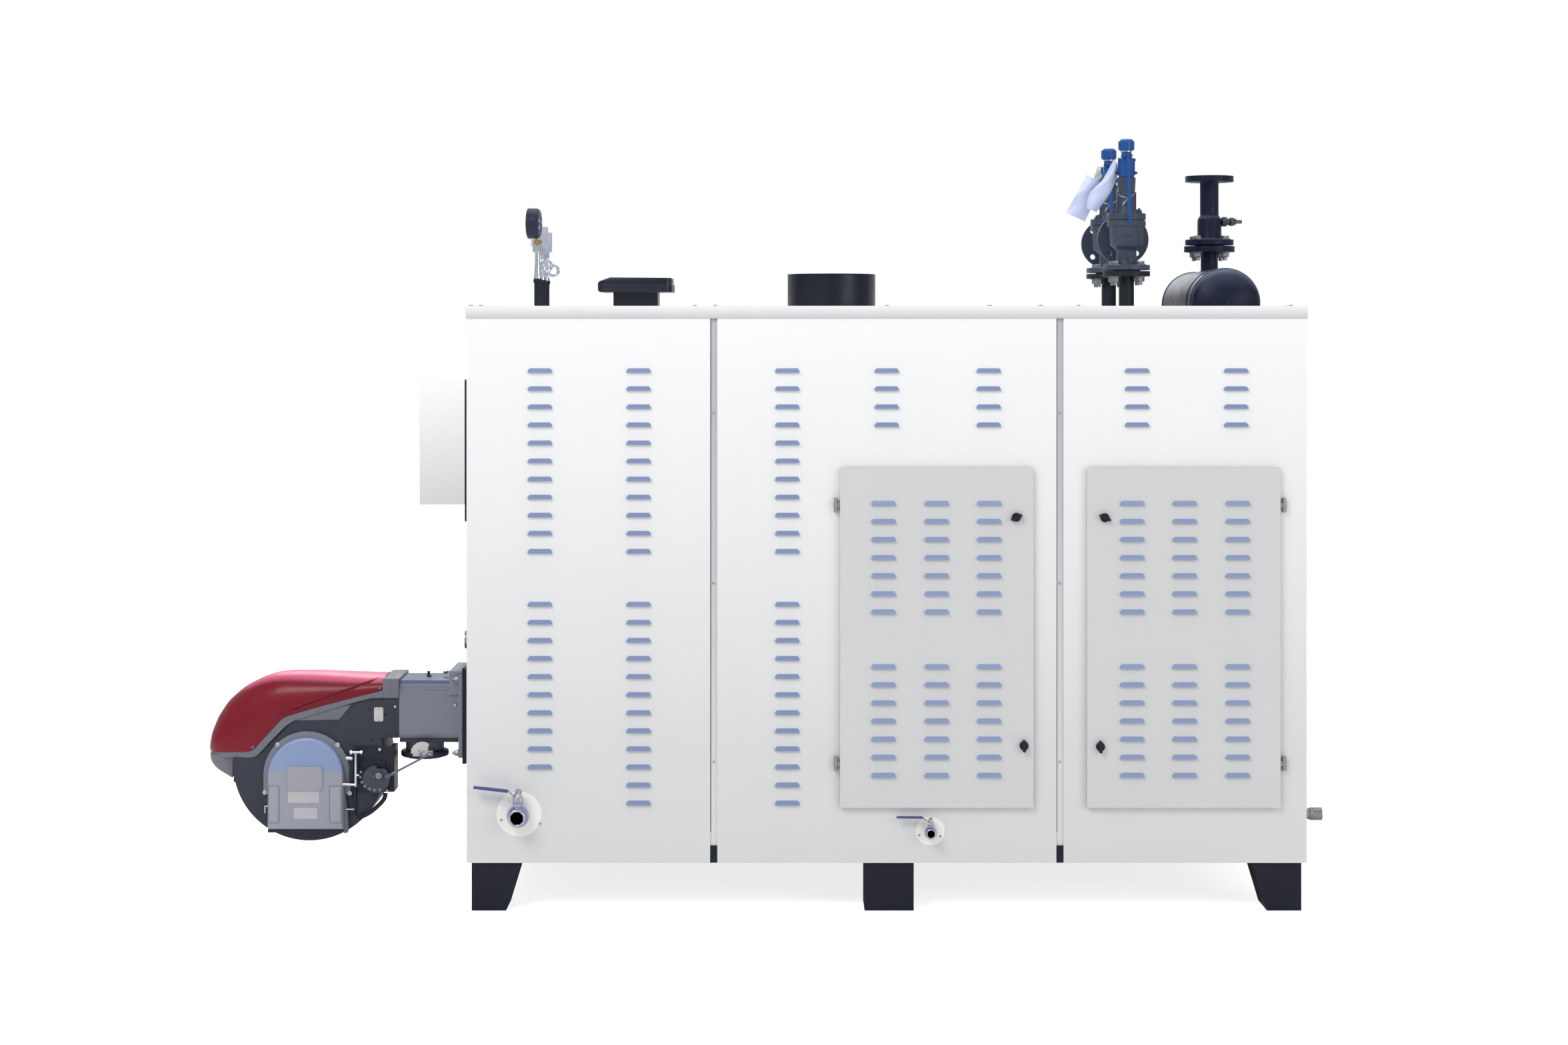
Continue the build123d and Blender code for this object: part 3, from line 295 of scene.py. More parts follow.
# Painted light in the paints below: shade by height on the casing, roof lip, cabinet and seam strips, and a
# sky reflection on the louvre hoods of the casing and doors.
white = paint("casing_paint", (245, 245, 245), 0.42, 0.03, 0.99, height_shade=panel_painted_shade,
              hood_reflections=(front_hood_reflection, back_hood_reflection))
door_paint = paint("door_paint", (207, 207, 207), 0.45, 0.03, 0.985, hood_reflections=(door_hood_reflection,))
roof_paint = paint("roof_paint", (238, 238, 238), 0.4, 0.03, 0.99, height_shade=roof_lip_painted_shade)
box_paint = paint("cabinet_paint", (252, 252, 252), 0.42, 0.03, 0.99, height_shade=box_painted_shade)
strip_paint = paint("seam_strip_paint", (190, 191, 195), 0.4, 0.02, 0.96, height_shade=strip_painted_shade)
# Painted shadow: dark lines along one edge of each seam strip, for the shadow of the panel edge.
strip_shadow_paint = paint("seam_shadow_paint", (140, 138, 146), 0.5, 0.02, 0.9)
frame_black = paint("frame_paint", (24, 27, 42), 0.45, 0.06, 0.8, edge_wear_and_highlight=(70, 73, 82), sheen=0.25)
pipe_black = paint("pipe_paint", (15, 22, 36), 0.45, 0.02, 0.75, sheen=0.3)
flue_black = paint("flue_paint", (6, 14, 32), 0.34, 0.02, 0.8, sheen=0.35)
# The hatch lid's lighter edges are partly a painted highlight along its edges.
hatch_black = paint("hatch_paint", (15, 21, 44), 0.28, 0.02, 0.75, edge_wear_and_highlight=(120, 123, 132), sheen=0.4)
# Painted sky reflection on the drum's faces that turn up.
drum_black = paint("drum_paint", (14, 24, 50), 0.42, 0.008, 0.85, sheen=0.2, sky=drum_sky_reflection)
hinge_steel = metal("hinge_steel", (168, 168, 168), 0.45)
screw_steel = metal("screw_steel", (190, 192, 196), stretch=(3, 3, 3))
bolt_zinc = metal("bolt_zinc", (160, 163, 168), 0.38, shade=0.7)
bright_steel = metal("bright_steel", (206, 210, 222), 0.22)
# Painted shade: a darker zinc for the link rod, for the shade it lies in.
shaded_link_steel = metal("shaded_link_steel", (120, 126, 142), 0.4)
cock_steel = metal("cock_steel", (110, 114, 124), 0.35, shade=0.5)
packing_metal = metal("packing_metal", (222, 206, 206), 0.25)
brass = metal("brass", (190, 158, 98), 0.28)
valve_cast = casting("valve_casting", (59, 70, 90), 0.42, 0.1, 0.8)
nickel = metal("nickel_plate", (172, 178, 204), 0.25, shade=0.8)
cap_blue = plastic("cap_blue", (10, 76, 148), sheen=0.4)
sleeve_blue = plastic("lever_sleeve", (60, 74, 124), 0.45)
lagging = metal("lagging_sheet", (168, 170, 172), 0.4, (1, 1, 1), 0.2, scale=20)
# Painted highlight on the top of the burner cover.
burner_red = paint("cover_red", (122, 9, 32), 0.34, 0.003, 0.97, coat=0.12, sky=cover_top_highlight, sheen=0.25)
burner_dark = casting("burner_dark", (52, 55, 68), 0.5, 0.05)
servo_dark = casting("servo_dark", (28, 32, 44), 0.45, 0.02)
cam_grey = casting("cam_grey", (66, 69, 82), 0.4, 0.02)
rim_grey = casting("cover_rim", (114, 114, 124), 0.42, 0.04)
# Painted sky reflection on the gas head's and the intake's faces that turn up.
head_grey = paint("gas_head_paint", (122, 125, 138), 0.38, 0.03, 0.95, sky=head_sky_reflection)
intake_silver = paint("intake_silver", (152, 155, 168), 0.3, 0.02, 0.96, sky=intake_sky_reflection)
panel_silver = paint("intake_panel", (158, 159, 168), 0.3, 0.02, 0.96)
sticker_pale = paint("blank_sticker", (186, 184, 188), 0.5, 0.0, 0.98)
gauge_black = plastic("gauge_case", (30, 40, 62), sheen=0.3)
dial_white = paint("dial_white", (236, 236, 230), 0.5, 0.0, 0.99)
ink_black = plastic("ink_black", (20, 20, 22), 0.5)
switch_grey = plastic("switch_grey", (184, 189, 206))
latch_black = plastic("latch_black", (24, 26, 38), 0.42, sheen=0.3)
rubber = plastic("rubber", (40, 43, 52), 0.6, sheen=0.25)
plate_white = paint("plate_white", (200, 200, 198), 0.45, 0.02, 0.96)
wall_cream = paint("wall_plate_cream", (243, 241, 236), 0.5, 0.04, 0.97)
tag_film = plastic("tag_film", (196, 206, 238), 0.25, 0.05)
rust = casting("rust_streak", (104, 82, 78), 0.8, 0.2, 0.8)

# Dressing of the CAD nodes

weld_gap = 0.01


def soften(mesh, angle=32):
    """Smooth shading, with the edges past an angle kept sharp."""
    mesh.polygons.foreach_set("use_smooth", [True] * len(mesh.polygons))
    mesh.set_sharp_from_angle(angle=radians(angle))


def dress(material, *nodes):
    """Give CAD nodes their material."""
    for name in nodes:
        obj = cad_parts[name]
        obj.data.materials.clear()
        obj.data.materials.append(material)
        soften(obj.data)


def round_off(nodes, split=32):
    """Join the facets of CAD nodes, so that round faces shade as round and edges stay crisp."""
    for name in nodes:
        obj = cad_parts[name]
        obj.modifiers.new("weld", "WELD").merge_threshold = weld_gap * MM
        obj.modifiers.new("crisp", "EDGE_SPLIT").split_angle = radians(split)


def ease_edges(width, nodes):
    """Round the edges of CAD nodes by a width in millimetres."""
    for name in nodes:
        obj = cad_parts[name]
        obj.modifiers.new("weld", "WELD").merge_threshold = weld_gap * MM
        bevel = obj.modifiers.new("ease", "BEVEL")
        bevel.width = width * MM
        bevel.segments = 3
        bevel.limit_method = "ANGLE"
        bevel.angle_limit = radians(40)
        bevel.harden_normals = True


all_nodes = list(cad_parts)
sheets = [n for n in all_nodes if n.startswith(("front_panel", "back_panel", "end_panel"))]
latches = [n for n in all_nodes if n.startswith("latch_")]
dress(white, *sheets)
dress(latch_black, *latches)
dress(roof_paint, "roof_panel")
dress(box_paint, "control_box")
dress(door_paint, "door_left", "door_right")
dress(frame_black, "base_frame", "feet", "control_box_bracket", "burner_neck")
dress(pipe_black, "gauge_risers", "safety_risers")
dress(flue_black, "flue_collar")
dress(hatch_black, "hatch_neck", "hatch_cover")
dress(drum_black, "steam_drum", "steam_neck")
dress(strip_paint, "seam_strips")
dress(hinge_steel, "hinge_knuckles")
dress(bolt_zinc, "sight_port", "feed_stub")
dress(lagging, "boiler_body")
dress(cap_blue, "safety_caps", "lift_lever_front", "lift_lever_rear")
dress(burner_dark, "burner_motor")
dress(servo_dark, "burner_servo")
dress(head_grey, "burner_manifold")
dress(cam_grey, "burner_cam")
dress(shaded_link_steel, "burner_link_rod")
dress(plate_white, "gas_lever")
eased_nodes = ("burner_manifold", "burner_servo", "hatch_cover")
ease_edges(1.5, eased_nodes)
round_off([n for n in all_nodes if n not in eased_nodes])

# Shapes


def aim(start, end):
    """Placement that takes +Z from one point towards another, and how far apart they are."""
    start, end = Vector(start), Vector(end)
    along = end - start
    return Matrix.Translation(start) @ along.to_track_quat("Z", "Y").to_matrix().to_4x4(), along.length


def upright(y):
    """Placement of an outline in X and Z that grows towards the front from a Y place."""
    return Matrix(((1, 0, 0, 0), (0, 0, -1, y), (0, 1, 0, 0), (0, 0, 0, 1)))


def level(z):
    """Placement of an outline in X and Y that grows upwards from a height."""
    return Matrix.Translation((0, 0, z))


def polar(radius, angle):
    """A point at an angle on a circle."""
    return Vector((radius * cos(angle), radius * sin(angle)))


def ring(count, radius, phase=0.0):
    """Pairs of places evenly round a circle; phase is a share of one step."""
    turns = [2 * pi * (i + phase) / count for i in range(count)]
    return [(radius * cos(a), radius * sin(a)) for a in turns]


def eased(profile, ease):
    """A turned profile with its corners cut back."""
    points = [Vector((profile[0][0], 0)), *[Vector(p) for p in profile], Vector((profile[-1][0], 0))]
    out = []
    for before, here, after in zip(points, points[1:], points[2:]):
        back_way, on_way = before - here, after - here
        if min(back_way.length, on_way.length) < 0.01 or back_way.angle(on_way) > radians(155):
            out.append(here)
            continue
        cut = min(ease, back_way.length * 0.45, on_way.length * 0.45)
        out += [here + back_way.normalized() * cut, here + on_way.normalized() * cut]
    return out


def smooth_path(points, steps=8):
    """Points along a smooth curve through the given ones."""
    points = [Vector(p) for p in points]
    out = []
    for i in range(len(points) - 1):
        a, b, c, d = [points[min(max(i + k, 0), len(points) - 1)] for k in (-1, 0, 1, 2)]
        for step in range(steps):
            t = step / steps
            out.append(0.5 * ((2 * b) + (c - a) * t + (2 * a - 5 * b + 4 * c - d) * t ** 2
                              + (3 * b - a - 3 * c + d) * t ** 3))
    return out + [points[-1]]


def rounded(half_x, half_y, radius, steps=5):
    """Outline of a rectangle with round corners."""
    out = []
    for corner, (side_x, side_y) in enumerate(((1, 1), (-1, 1), (-1, -1), (1, -1))):
        for i in range(steps + 1):
            turn = pi / 2 * (corner + i / steps)
            out.append((side_x * (half_x - radius) + radius * cos(turn),
                        side_y * (half_y - radius) + radius * sin(turn)))
    return out


class Shape:
    """A mesh under construction, in millimetres."""

    def __init__(self):
        self.mesh = bmesh.new()

    def row(self, points):
        """New vertices at some points."""
        return [self.mesh.verts.new(p) for p in points]

    def band(self, low, high):
        """Faces between two closed rows of as many vertices."""
        faces = []
        for i, vert in enumerate(low):
            j = (i + 1) % len(low)
            faces.append(self.mesh.faces.new((vert, low[j], high[j], high[i])))
        return faces

    def skin(self, loops, closed=False):
        """Faces between equal loops of points, and over the first and last."""
        rows = [self.row(loop) for loop in loops]
        for low, high in zip(rows, rows[1:]):
            self.band(low, high)
        if closed:
            self.band(rows[-1], rows[0])
        else:
            self.mesh.faces.new(rows[0][::-1])
            self.mesh.faces.new(rows[-1])
        return self

    def turn(self, start, end, profile, ease=0.6, sides=32, phase=0.0):
        """A body turned about a line; profile is (along, radius) pairs, or one radius all the way."""
        matrix, length = aim(start, end)
        if not isinstance(profile, list):
            profile = [(0, profile), (length, profile)]
        circle = ring(sides, 1, phase)
        return self.skin([[matrix @ Vector((r * a, r * b, z)) for a, b in circle]
                          for z, r in eased(profile, ease)])

    def stack(self, x, y, *rows):
        """Bodies turned about one upright line, each as its foot, its top and what turn takes after them."""
        for low, high, *rest in rows:
            self.turn((x, y, low), (x, y, high), *rest)
        return self

    def hexagon(self, start, end, flats, ease=0.8):
        """A hexagonal bar between two points."""
        return self.turn(start, end, flats / sqrt(3), ease, 6)

    def prism(self, outline, where, depth, ease=0.0):
        """A flat outline given depth, with its edges eased."""
        low = self.row(where @ Vector((a, b, 0)) for a, b in outline)
        high = self.row(where @ Vector((a, b, depth)) for a, b in outline)
        faces = [self.mesh.faces.new(low[::-1]), self.mesh.faces.new(high), *self.band(low, high)]
        if ease:
            self.mesh.normal_update()
            edges = {e for face in faces for e in face.edges if e.calc_face_angle(0) > radians(30)}
            bmesh.ops.bevel(self.mesh, geom=list(edges), offset=ease, segments=2, affect="EDGES", profile=0.6)
        return self

    def block(self, low, high, ease=1.0):
        """A box between two corners, with its edges eased."""
        outline = [(low[0], low[1]), (high[0], low[1]), (high[0], high[1]), (low[0], high[1])]
        return self.prism(outline, level(low[2]), high[2] - low[2], ease)

    def tube(self, path, radius, sides=12, closed=False):
        """A round bar along a path."""
        path = [Vector(p) for p in path]
        count = len(path)
        loops = []
        side = None
        for i, here in enumerate(path):
            ahead = path[(i + 1) % count] if closed or i + 1 < count else here
            behind = path[i - 1] if closed or i else here
            way = (ahead - behind).normalized()
            side = way.orthogonal() if side is None else side - way * side.dot(way)
            side.normalize()
            other = way.cross(side)
            loops.append([here + radius * (a * side + b * other) for a, b in ring(sides, 1)])
        return self.skin(loops, closed)

    def wire(self, *points):
        """A thin wire on a smooth curve through some points."""
        return self.tube(smooth_path(points, 6), 0.9, 6)

    def holed_flange(self, where, outer, inner, circle, hole, depth, steps=12):
        """A ring with four bolt holes, made of four quarters that meet at the holes."""
        half = [pi * k / steps for k in range(steps + 1)]
        for quarter in range(4):
            start = pi / 4 + pi / 2 * quarter
            end = start + pi / 2
            sweep = [start + a / 2 for a in half]
            outline = [polar(outer, a) for a in sweep]
            outline += [polar(circle, end) + polar(hole, end - a) for a in half]
            outline += [polar(inner, a) for a in sweep[::-1]]
            outline += [polar(circle, start) - polar(hole, start - a) for a in half]
            self.prism(outline, where, depth)
        return self

    def screw(self, point, way, radius, height=None):
        """A pan head with a round socket, standing on a point."""
        point, way = Vector(point), Vector(way).normalized()
        height = height or radius * 0.7
        profile = [(0, radius), (height * 0.55, radius), (height * 0.95, radius * 0.7),
                   (height, radius * 0.42), (height * 0.6, radius * 0.36)]
        return self.turn(point, point + way, profile, ease=0.1, sides=18)

    def screws(self, points, way, radius, height=None):
        """The same pan head on each of some points."""
        for point in points:
            self.screw(point, way, radius, height)
        return self

    def bolt(self, point, way, flats, height=None, washer=True, stud=0.0):
        """A hexagon head or nut on its washer, with a stud's end standing out of it if asked."""
        point, way = Vector(point), Vector(way).normalized()
        base = flats * 0.1 if washer else 0.0
        top = base + (height or flats * 0.6)
        if washer:
            self.turn(point, point + way * base, flats * 0.72, ease=0.3, sides=24)
        self.hexagon(point + way * base, point + way * top, flats, ease=flats * 0.07)
        if stud:
            self.turn(point + way * top, point + way * (top + stud), flats * 0.3, ease=1.0, sides=16)
        return self


def piece(name, shape, material, body="casing", replaces=(), angle=32):
    """Turn a finished shape into an object that rides on a body."""
    bmesh.ops.recalc_face_normals(shape.mesh, faces=shape.mesh.faces)
    shape.mesh.transform(Matrix.Scale(MM, 4))
    mesh = bpy.data.meshes.new(name)
    shape.mesh.to_mesh(mesh)
    shape.mesh.free()
    mesh.materials.append(material)
    soften(mesh, angle)
    obj = bpy.data.objects.new(name, mesh)
    bpy.context.scene.collection.objects.link(obj)
    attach(obj, body)
    if replaces:
        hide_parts(*replaces)


# Casing screws and hinge sleeves

seam_half, seam_shadow_edge = 11, 8
seam_screw_heights = (1517, 999, 455)
roof_screw_columns = (-859, -829, -177, -114, 408, 722, 877, 992, 1640)
roof_screw_rows = (-320, 33, 386)
roof_screw_inset = 14
hinge_heights = (1238, 452)
sleeve_half, sleeve_r = 7.1, 6.5


def make_casing_screws():
    """Screws and painted shadow lines of the seam strips, and the screws round the roof."""
    screws, edges = Shape(), Shape()
    low, high = place("seam_strips")
    for x in (low.x + seam_half, high.x - seam_half):
        for z in seam_screw_heights:
            screws.screw((x, front + 8, z), to_front, 3.6)
            screws.screw((x, back - 8, z), to_back, 3.6)
        # Painted shadow of the panel edge on the seam strip.
        edges.block((x - seam_half, front + 6.5, low.z + 40), (x - seam_shadow_edge, front + 10, high.z), 0)
        edges.block((x + seam_shadow_edge, back - 10, low.z + 40), (x + seam_half, back - 6.5, high.z), 0)
    piece("seam_screws", screws, screw_steel)
    piece("seam_shadow_lines", edges, strip_shadow_paint)
    places = [(x, y) for x in roof_screw_columns for y in (front + roof_screw_inset, back - roof_screw_inset)]
    places += [(x, y) for x in (case_left + roof_screw_inset, case_right - roof_screw_inset)
               for y in roof_screw_rows]
    roof = Shape().screws([(x, y, roof_top) for x, y in places], to_sky, 6.5, 3.2)
    piece("roof_screws", roof, bolt_zinc)


def make_hinge_sleeves():
    """Steel sleeves over the door halves of the hinges."""
    hinge_y = place("hinge_knuckles")[0].y + 6
    for door, side in (("door_left", -1), ("door_right", 1)):
        low, high = place(door)
        x = low.x + 6 if side < 0 else high.x - 6
        left, right = sorted((x, x - side * 14))
        sleeves = Shape()
        for z in hinge_heights:
            low_z, high_z = z - sleeve_half, z + sleeve_half
            sleeves.turn((x, hinge_y, low_z), (x, hinge_y, high_z), sleeve_r, ease=0.4, sides=24)
            sleeves.block((left, hinge_y - 2.6, low_z), (right, hinge_y + 2.6, high_z), 0.5)
        piece(f"hinge_sleeves_{door}", sleeves, hinge_steel, body=door)


make_casing_screws()
make_hinge_sleeves()

# Ball valves on the front


def make_ball_valve(prefix, body_r, end_flats, bore_r, nut_rise, sleeve_thick, screws, handle):
    """Wall plate, ball valve and its flat lever with a sleeve.

    screws are (across, up) places on the plate. handle is how far the lever's bend lies to the
    left of the axis and above it, how far its tip does, and half the sleeve's width.
    """
    low, high = place(f"{prefix}_valve")
    x = (low.x + high.x) / 2
    plate_r = (high.z - low.z) / 2
    z = low.z + plate_r
    reach = front - low.y
    stem_y = front - reach / 2
    scale = body_r / 34
    nut_low = z + nut_rise
    nut_high = nut_low + 12 * scale

    def out(share):
        """A point on the valve's axis, at a share of its reach from the wall."""
        return x, front - reach * share, z

    def stem(height, across=0.0):
        """A point on the stem or beside it, at a height."""
        return x + across * scale, stem_y, height

    def part(name, shape, material, body="casing", replaces=()):
        piece(f"{prefix}_{name}", shape, material, body=body, replaces=replaces)

    plate = Shape().turn(out(0), (x, front - 3, z), [(0, plate_r), (2.2, plate_r), (3, plate_r - 5)], ease=1,
                         sides=64)
    piece(f"{prefix}_wall_plate", plate, wall_cream)
    spots = [(x + across, front - 2.6, z + up) for across, up in screws]
    piece(f"{prefix}_plate_screws", Shape().screws(spots, to_front, 3.4), hinge_steel)

    body = Shape().hexagon((x, front - 1, z), out(0.26), end_flats * 0.92, ease=2 * scale)
    barrel = [(reach * (0.2 + 0.56 * i / 14), body_r * sqrt(1 - (1 - i / 7) ** 2 * 0.42)) for i in range(15)]
    body.turn(out(0), out(1), barrel, ease=0, sides=40)
    lip = end_flats * 0.5
    rim = bore_r + 2.6 * scale
    face = [(reach * 0.74, lip * 1.02), (reach - 5 * scale, lip * 1.1), (reach - 1.5 * scale, lip),
            (reach - scale, lip * 0.93), (reach - scale, bore_r + 2.2 * scale), (reach - 3 * scale, bore_r),
            (reach * 0.78, bore_r * 0.96)]
    body.turn(out(0), out(1), face, ease=0.4, sides=8, phase=0.5)
    body.turn(stem(z + body_r * 0.7), stem(z + body_r + 6 * scale), 15 * scale, ease=1)
    for across, radius in ((-13, 3), (13, 3), (0, 5.5)):
        body.turn(stem(z + body_r, across), stem(nut_low, across), radius * scale)
    part("body", body, nickel, replaces=(f"{prefix}_valve",))
    mouth = [(0, lip * 0.98), (2 * scale, lip * 0.9), (2 * scale, rim), (0, rim)]
    part("mouth", Shape().turn((x, front - reach + 2 * scale, z), out(1), mouth, ease=0.3, sides=40),
         bright_steel)
    part("bore_shadow", Shape().turn(out(0.78), out(0.8), bore_r * 0.96, ease=0.1), rubber)
    ball = [(0, bore_r * 0.54), (reach * 0.05, bore_r * 0.48), (reach * 0.08, bore_r * 0.25)]
    part("ball", Shape().turn(out(0.79), out(0.9), ball, ease=0.3), bright_steel)

    bend, rise, tip, tip_rise, half = handle
    lever = f"{prefix}_lever"
    nut = Shape().hexagon(stem(nut_low), stem(nut_high), 20 * scale, ease=1.2 * scale)
    part("lever_nut", nut, packing_metal, body=lever)
    hub = Shape().hexagon(stem(nut_high, 2), stem(nut_high + 9 * scale, 2), 16 * scale)
    hub.turn(stem(nut_low), stem(nut_high + 13 * scale), 4.5 * scale)
    thick = 3 * scale
    elbow, knee = x - bend, x - bend - 12 * scale
    strip = [(x + 9 * scale, nut_low - 0.4), (x - 11 * scale, nut_low - 0.4), (elbow, z + rise),
             (knee, z + rise + 1), (knee, z + rise + 1 + thick), (elbow - 1, z + rise + thick),
             (x - 12 * scale, nut_low + thick), (x + 9 * scale, nut_low + thick)]
    hub.prism(strip, upright(stem_y + half * 0.9), half * 1.8, 0.6)
    part("lever_steel", hub, nickel, body=lever, replaces=(lever,))
    start, end = Vector((elbow - 2, stem_y, z + rise + 2)), Vector((x - tip, stem_y, z + tip_rise))
    loops = []
    for share, size in ((0, 0.5), (0.012, 0.85), (0.05, 0.98), (0.3, 1), (0.75, 0.94), (0.95, 0.86),
                        (0.985, 0.7), (1, 0.35)):
        here = start.lerp(end, share)
        loops.append([here + Vector((0, a * half * 1.12 * size, b * 4.2 * sleeve_thick * size ** 0.7))
                      for a, b in rounded(1, 1, 0.55, 4)])
    piece(f"{lever}_sleeve", Shape().skin(loops), sleeve_blue, body=lever)


make_ball_valve("drain", body_r=34, end_flats=52, bore_r=19.5, nut_rise=58, sleeve_thick=1,
                screws=((-54, -18), (63, -29)), handle=(27, 74, 135, 88, 11))
make_ball_valve("blowdown", body_r=19, end_flats=30.4, bore_r=11.5, nut_rise=33, sleeve_thick=0.75,
                screws=((-34, -12), (31, -15)), handle=(22, 44, 104, 47, 8))

# Burner


def burner(back_way, up, across=0.0):
    """Place of a point given back from the flange plane, up and across from the burner's axis."""
    return Vector((flange_x - back_way, mid_y + across, burner_z + up))


def burner_outline(points):
    """(x, z) pairs of (back, up) points."""
    return [(flange_x - b, burner_z + u) for b, u in points]


def plate_outline(back_way, up, half_wide, half_high, corner):
    """(x, z) pairs of a round-cornered plate on the burner."""
    return [(flange_x - back_way + a, burner_z + up + b) for a, b in rounded(half_wide, half_high, corner)]


def burner_bars(shape, *rows):
    """Add round bars to a shape, each as the burner's places of its two ends and its radius."""
    for start, end, radius in rows:
        shape.turn(burner(*start), burner(*end), radius)
    return shape


def burner_screws(radius, across, *spots):
    """Screws of one radius that face the front, at (back, up) places of the burner."""
    return Shape().screws([burner(b, u, across) for b, u in spots], to_front, radius)


cover_half = 118
cover_top = [(262, 114), (353, 118), (476, 123), (562, 124), (612, 120), (650, 110), (680, 98), (722, 76),
             (750, 54), (776, 30), (795, 4), (811, -22), (822, -48), (831, -72), (836, -96), (839, -118),
             (839.5, -130)]
cover_base = [(258, 74), (283, 66), (335, 54), (463, 21), (548, -4), (572, -11), (590, -22), (634, -70),
              (678, -118), (684, -122), (696, -125), (740, -127), (790, -131), (838, -136)]
rim_low = [(258, 49), (300, 48), (340, 38), (463, 2), (540, -22), (557, -30), (576, -44), (620, -88),
           (663, -134), (670, -140), (684, -144), (740, -146), (790, -149), (836, -153)]
nose_profile = [(-140, 839), (-150, 839), (-162, 837), (-174, 831), (-185, 821), (-195, 806), (-203, 789),
                (-209, 773), (-212, 764)]
stations = 110
cover_power = 2.7
nose_start, nose_power = 0.62, 2.6
nose_plan_start, nose_plan_half, nose_plan_steps = 752, 88, 40
crease = ((634, -14), (308, 102), (272, 118))
crease_depth, crease_soft = 8.0, 6
crease_fade_back, crease_fade = 700, 110
side_start, side_blend = 60, 30


def even_steps(points, count):
    """Points at equal distances along a run of points."""
    gaps = [(b - a).length for a, b in zip(points, points[1:])]
    total = sum(gaps)
    out = []
    for k in range(count):
        want = total * k / (count - 1)
        i = 0
        while i < len(gaps) - 1 and want > gaps[i]:
            want -= gaps[i]
            i += 1
        out.append(points[i].lerp(points[i + 1], min(1, want / gaps[i])))
    return out


def even_run(points):
    """The stations along one of the burner's outlines, as (back, up, 0)."""
    return even_steps([Vector((b, u, 0)) for b, u in points], stations)


def nose_width(station):
    """How wide the cover is at a station between the gas head and its nose."""
    share = station / (stations - 1)
    q = max(0, (share - nose_start) / (1 - nose_start))
    return max(0.12, (1 - q ** nose_power) ** (1 / nose_power))


def crease_step(point):
    """How far the cover's side is set in below its crease, in millimetres."""
    best = None
    for (b0, u0), (b1, u1) in zip(crease, crease[1:]):
        run = Vector((b1 - b0, u1 - u0))
        rel = Vector((point.x - b0, point.y - u0))
        t = min(1, max(0, rel.dot(run) / run.length_squared))
        gap = (rel - run * t).length
        side = run.x * rel.y - run.y * rel.x
        if best is None or gap < abs(best):
            best = gap if side < 0 else -gap
    inward = min(1, max(0, (best + crease_soft - 1) / crease_soft))
    fade_out = min(1, max(0, (crease_fade_back - point.x) / crease_fade))
    return crease_depth * (1 - inward ** 2 * (3 - 2 * inward)) * fade_out


def make_cover():
    """The moulded red cover: crowned across, its side stepped below a crease, its nose rounded in plan."""
    around = 120
    tops = even_steps(smooth_path([(b, u, 0) for b, u in cover_top], 8), stations)
    loops = []
    for k, (top, base) in enumerate(zip(tops, even_run(cover_base))):
        loop = []
        for i in range(around):
            turn = pi * i / (around - 1)
            c, s = cos(turn), sin(turn)
            side = 1 if c > 0 else -1
            across = cover_half * nose_width(k) * side * abs(c) ** (2 / cover_power)
            here = base.lerp(top, s ** (2 / cover_power))
            if abs(across) > side_start and s < 0.97:
                across -= crease_step(here) * side * min(1, (abs(across) - side_start) / side_blend)
            loop.append(burner(here.x, here.y, across))
        loops.append(loop)
    piece("cover_shell", Shape().skin(loops), burner_red, replaces=("burner_cover",), angle=50)
    screws = burner_screws(4.2, -104, *[(b, -152) for b in (716, 733, 750)])
    for b, u in ((682, -110), (271, 82)):
        for side in (-1, 1):
            screws.screw(burner(b, u, side * (cover_half - 6)), (0, side, 0), 5.2)
    piece("cover_screws", screws, rim_grey)


def make_rim():
    """Cast rim under the cover: a band that follows its edge, a square shoulder and the hollowed nose."""
    corners = rounded(1, 1, 0.12, 3)
    loops = []
    for k, (top, low) in enumerate(zip(even_run(cover_base), even_run(rim_low))):
        half = (cover_half - 1) * nose_width(k)
        top = top + Vector((0, 1.5, 0))
        loop = []
        for a, b in corners:
            here = low.lerp(top, (b + 1) / 2)
            loop.append(burner(here.x, here.y, a * half))
        loops.append(loop)
    band = Shape().skin(loops)
    band.block(burner(262, 49, -116), burner(209, 112, 116), 3)
    loops = []
    for up, reach in nose_profile:
        loop = [burner(nose_plan_start, up, nose_plan_half), burner(nose_plan_start, up, -nose_plan_half)]
        for i in range(1, nose_plan_steps):
            turn = -pi / 2 + pi * i / nose_plan_steps
            c, s = cos(turn), sin(turn)
            side = 1 if s > 0 else -1
            loop.append(burner(nose_plan_start + (reach - nose_plan_start) * c ** (2 / nose_power), up,
                               nose_plan_half * side * abs(s) ** (2 / nose_power)))
        loops.append(loop)
    band.skin(loops)
    piece("cover_rim", band, rim_grey, replaces=("burner_rim",), angle=40)


def make_housing():
    """Fan volute and the arm that carries it from the gas head."""
    low, high = place("burner_housing")
    centre_back, centre_up, radius = 500, -166, 247
    turns = [radians(degrees) for degrees in range(157, 364, 3)]
    around = [(centre_back + radius * cos(a), centre_up + radius * sin(a)) for a in turns]
    outline = [(209, 51), (209, -81), (280, -81), *around, (746, -144), (668, -138), (558, -28), (463, 4),
               (340, 40), (300, 50)]
    body = Shape().prism(burner_outline(outline), upright(high.y), high.y - low.y, 4)
    piece("housing_shell", body, burner_dark, replaces=("burner_housing",))


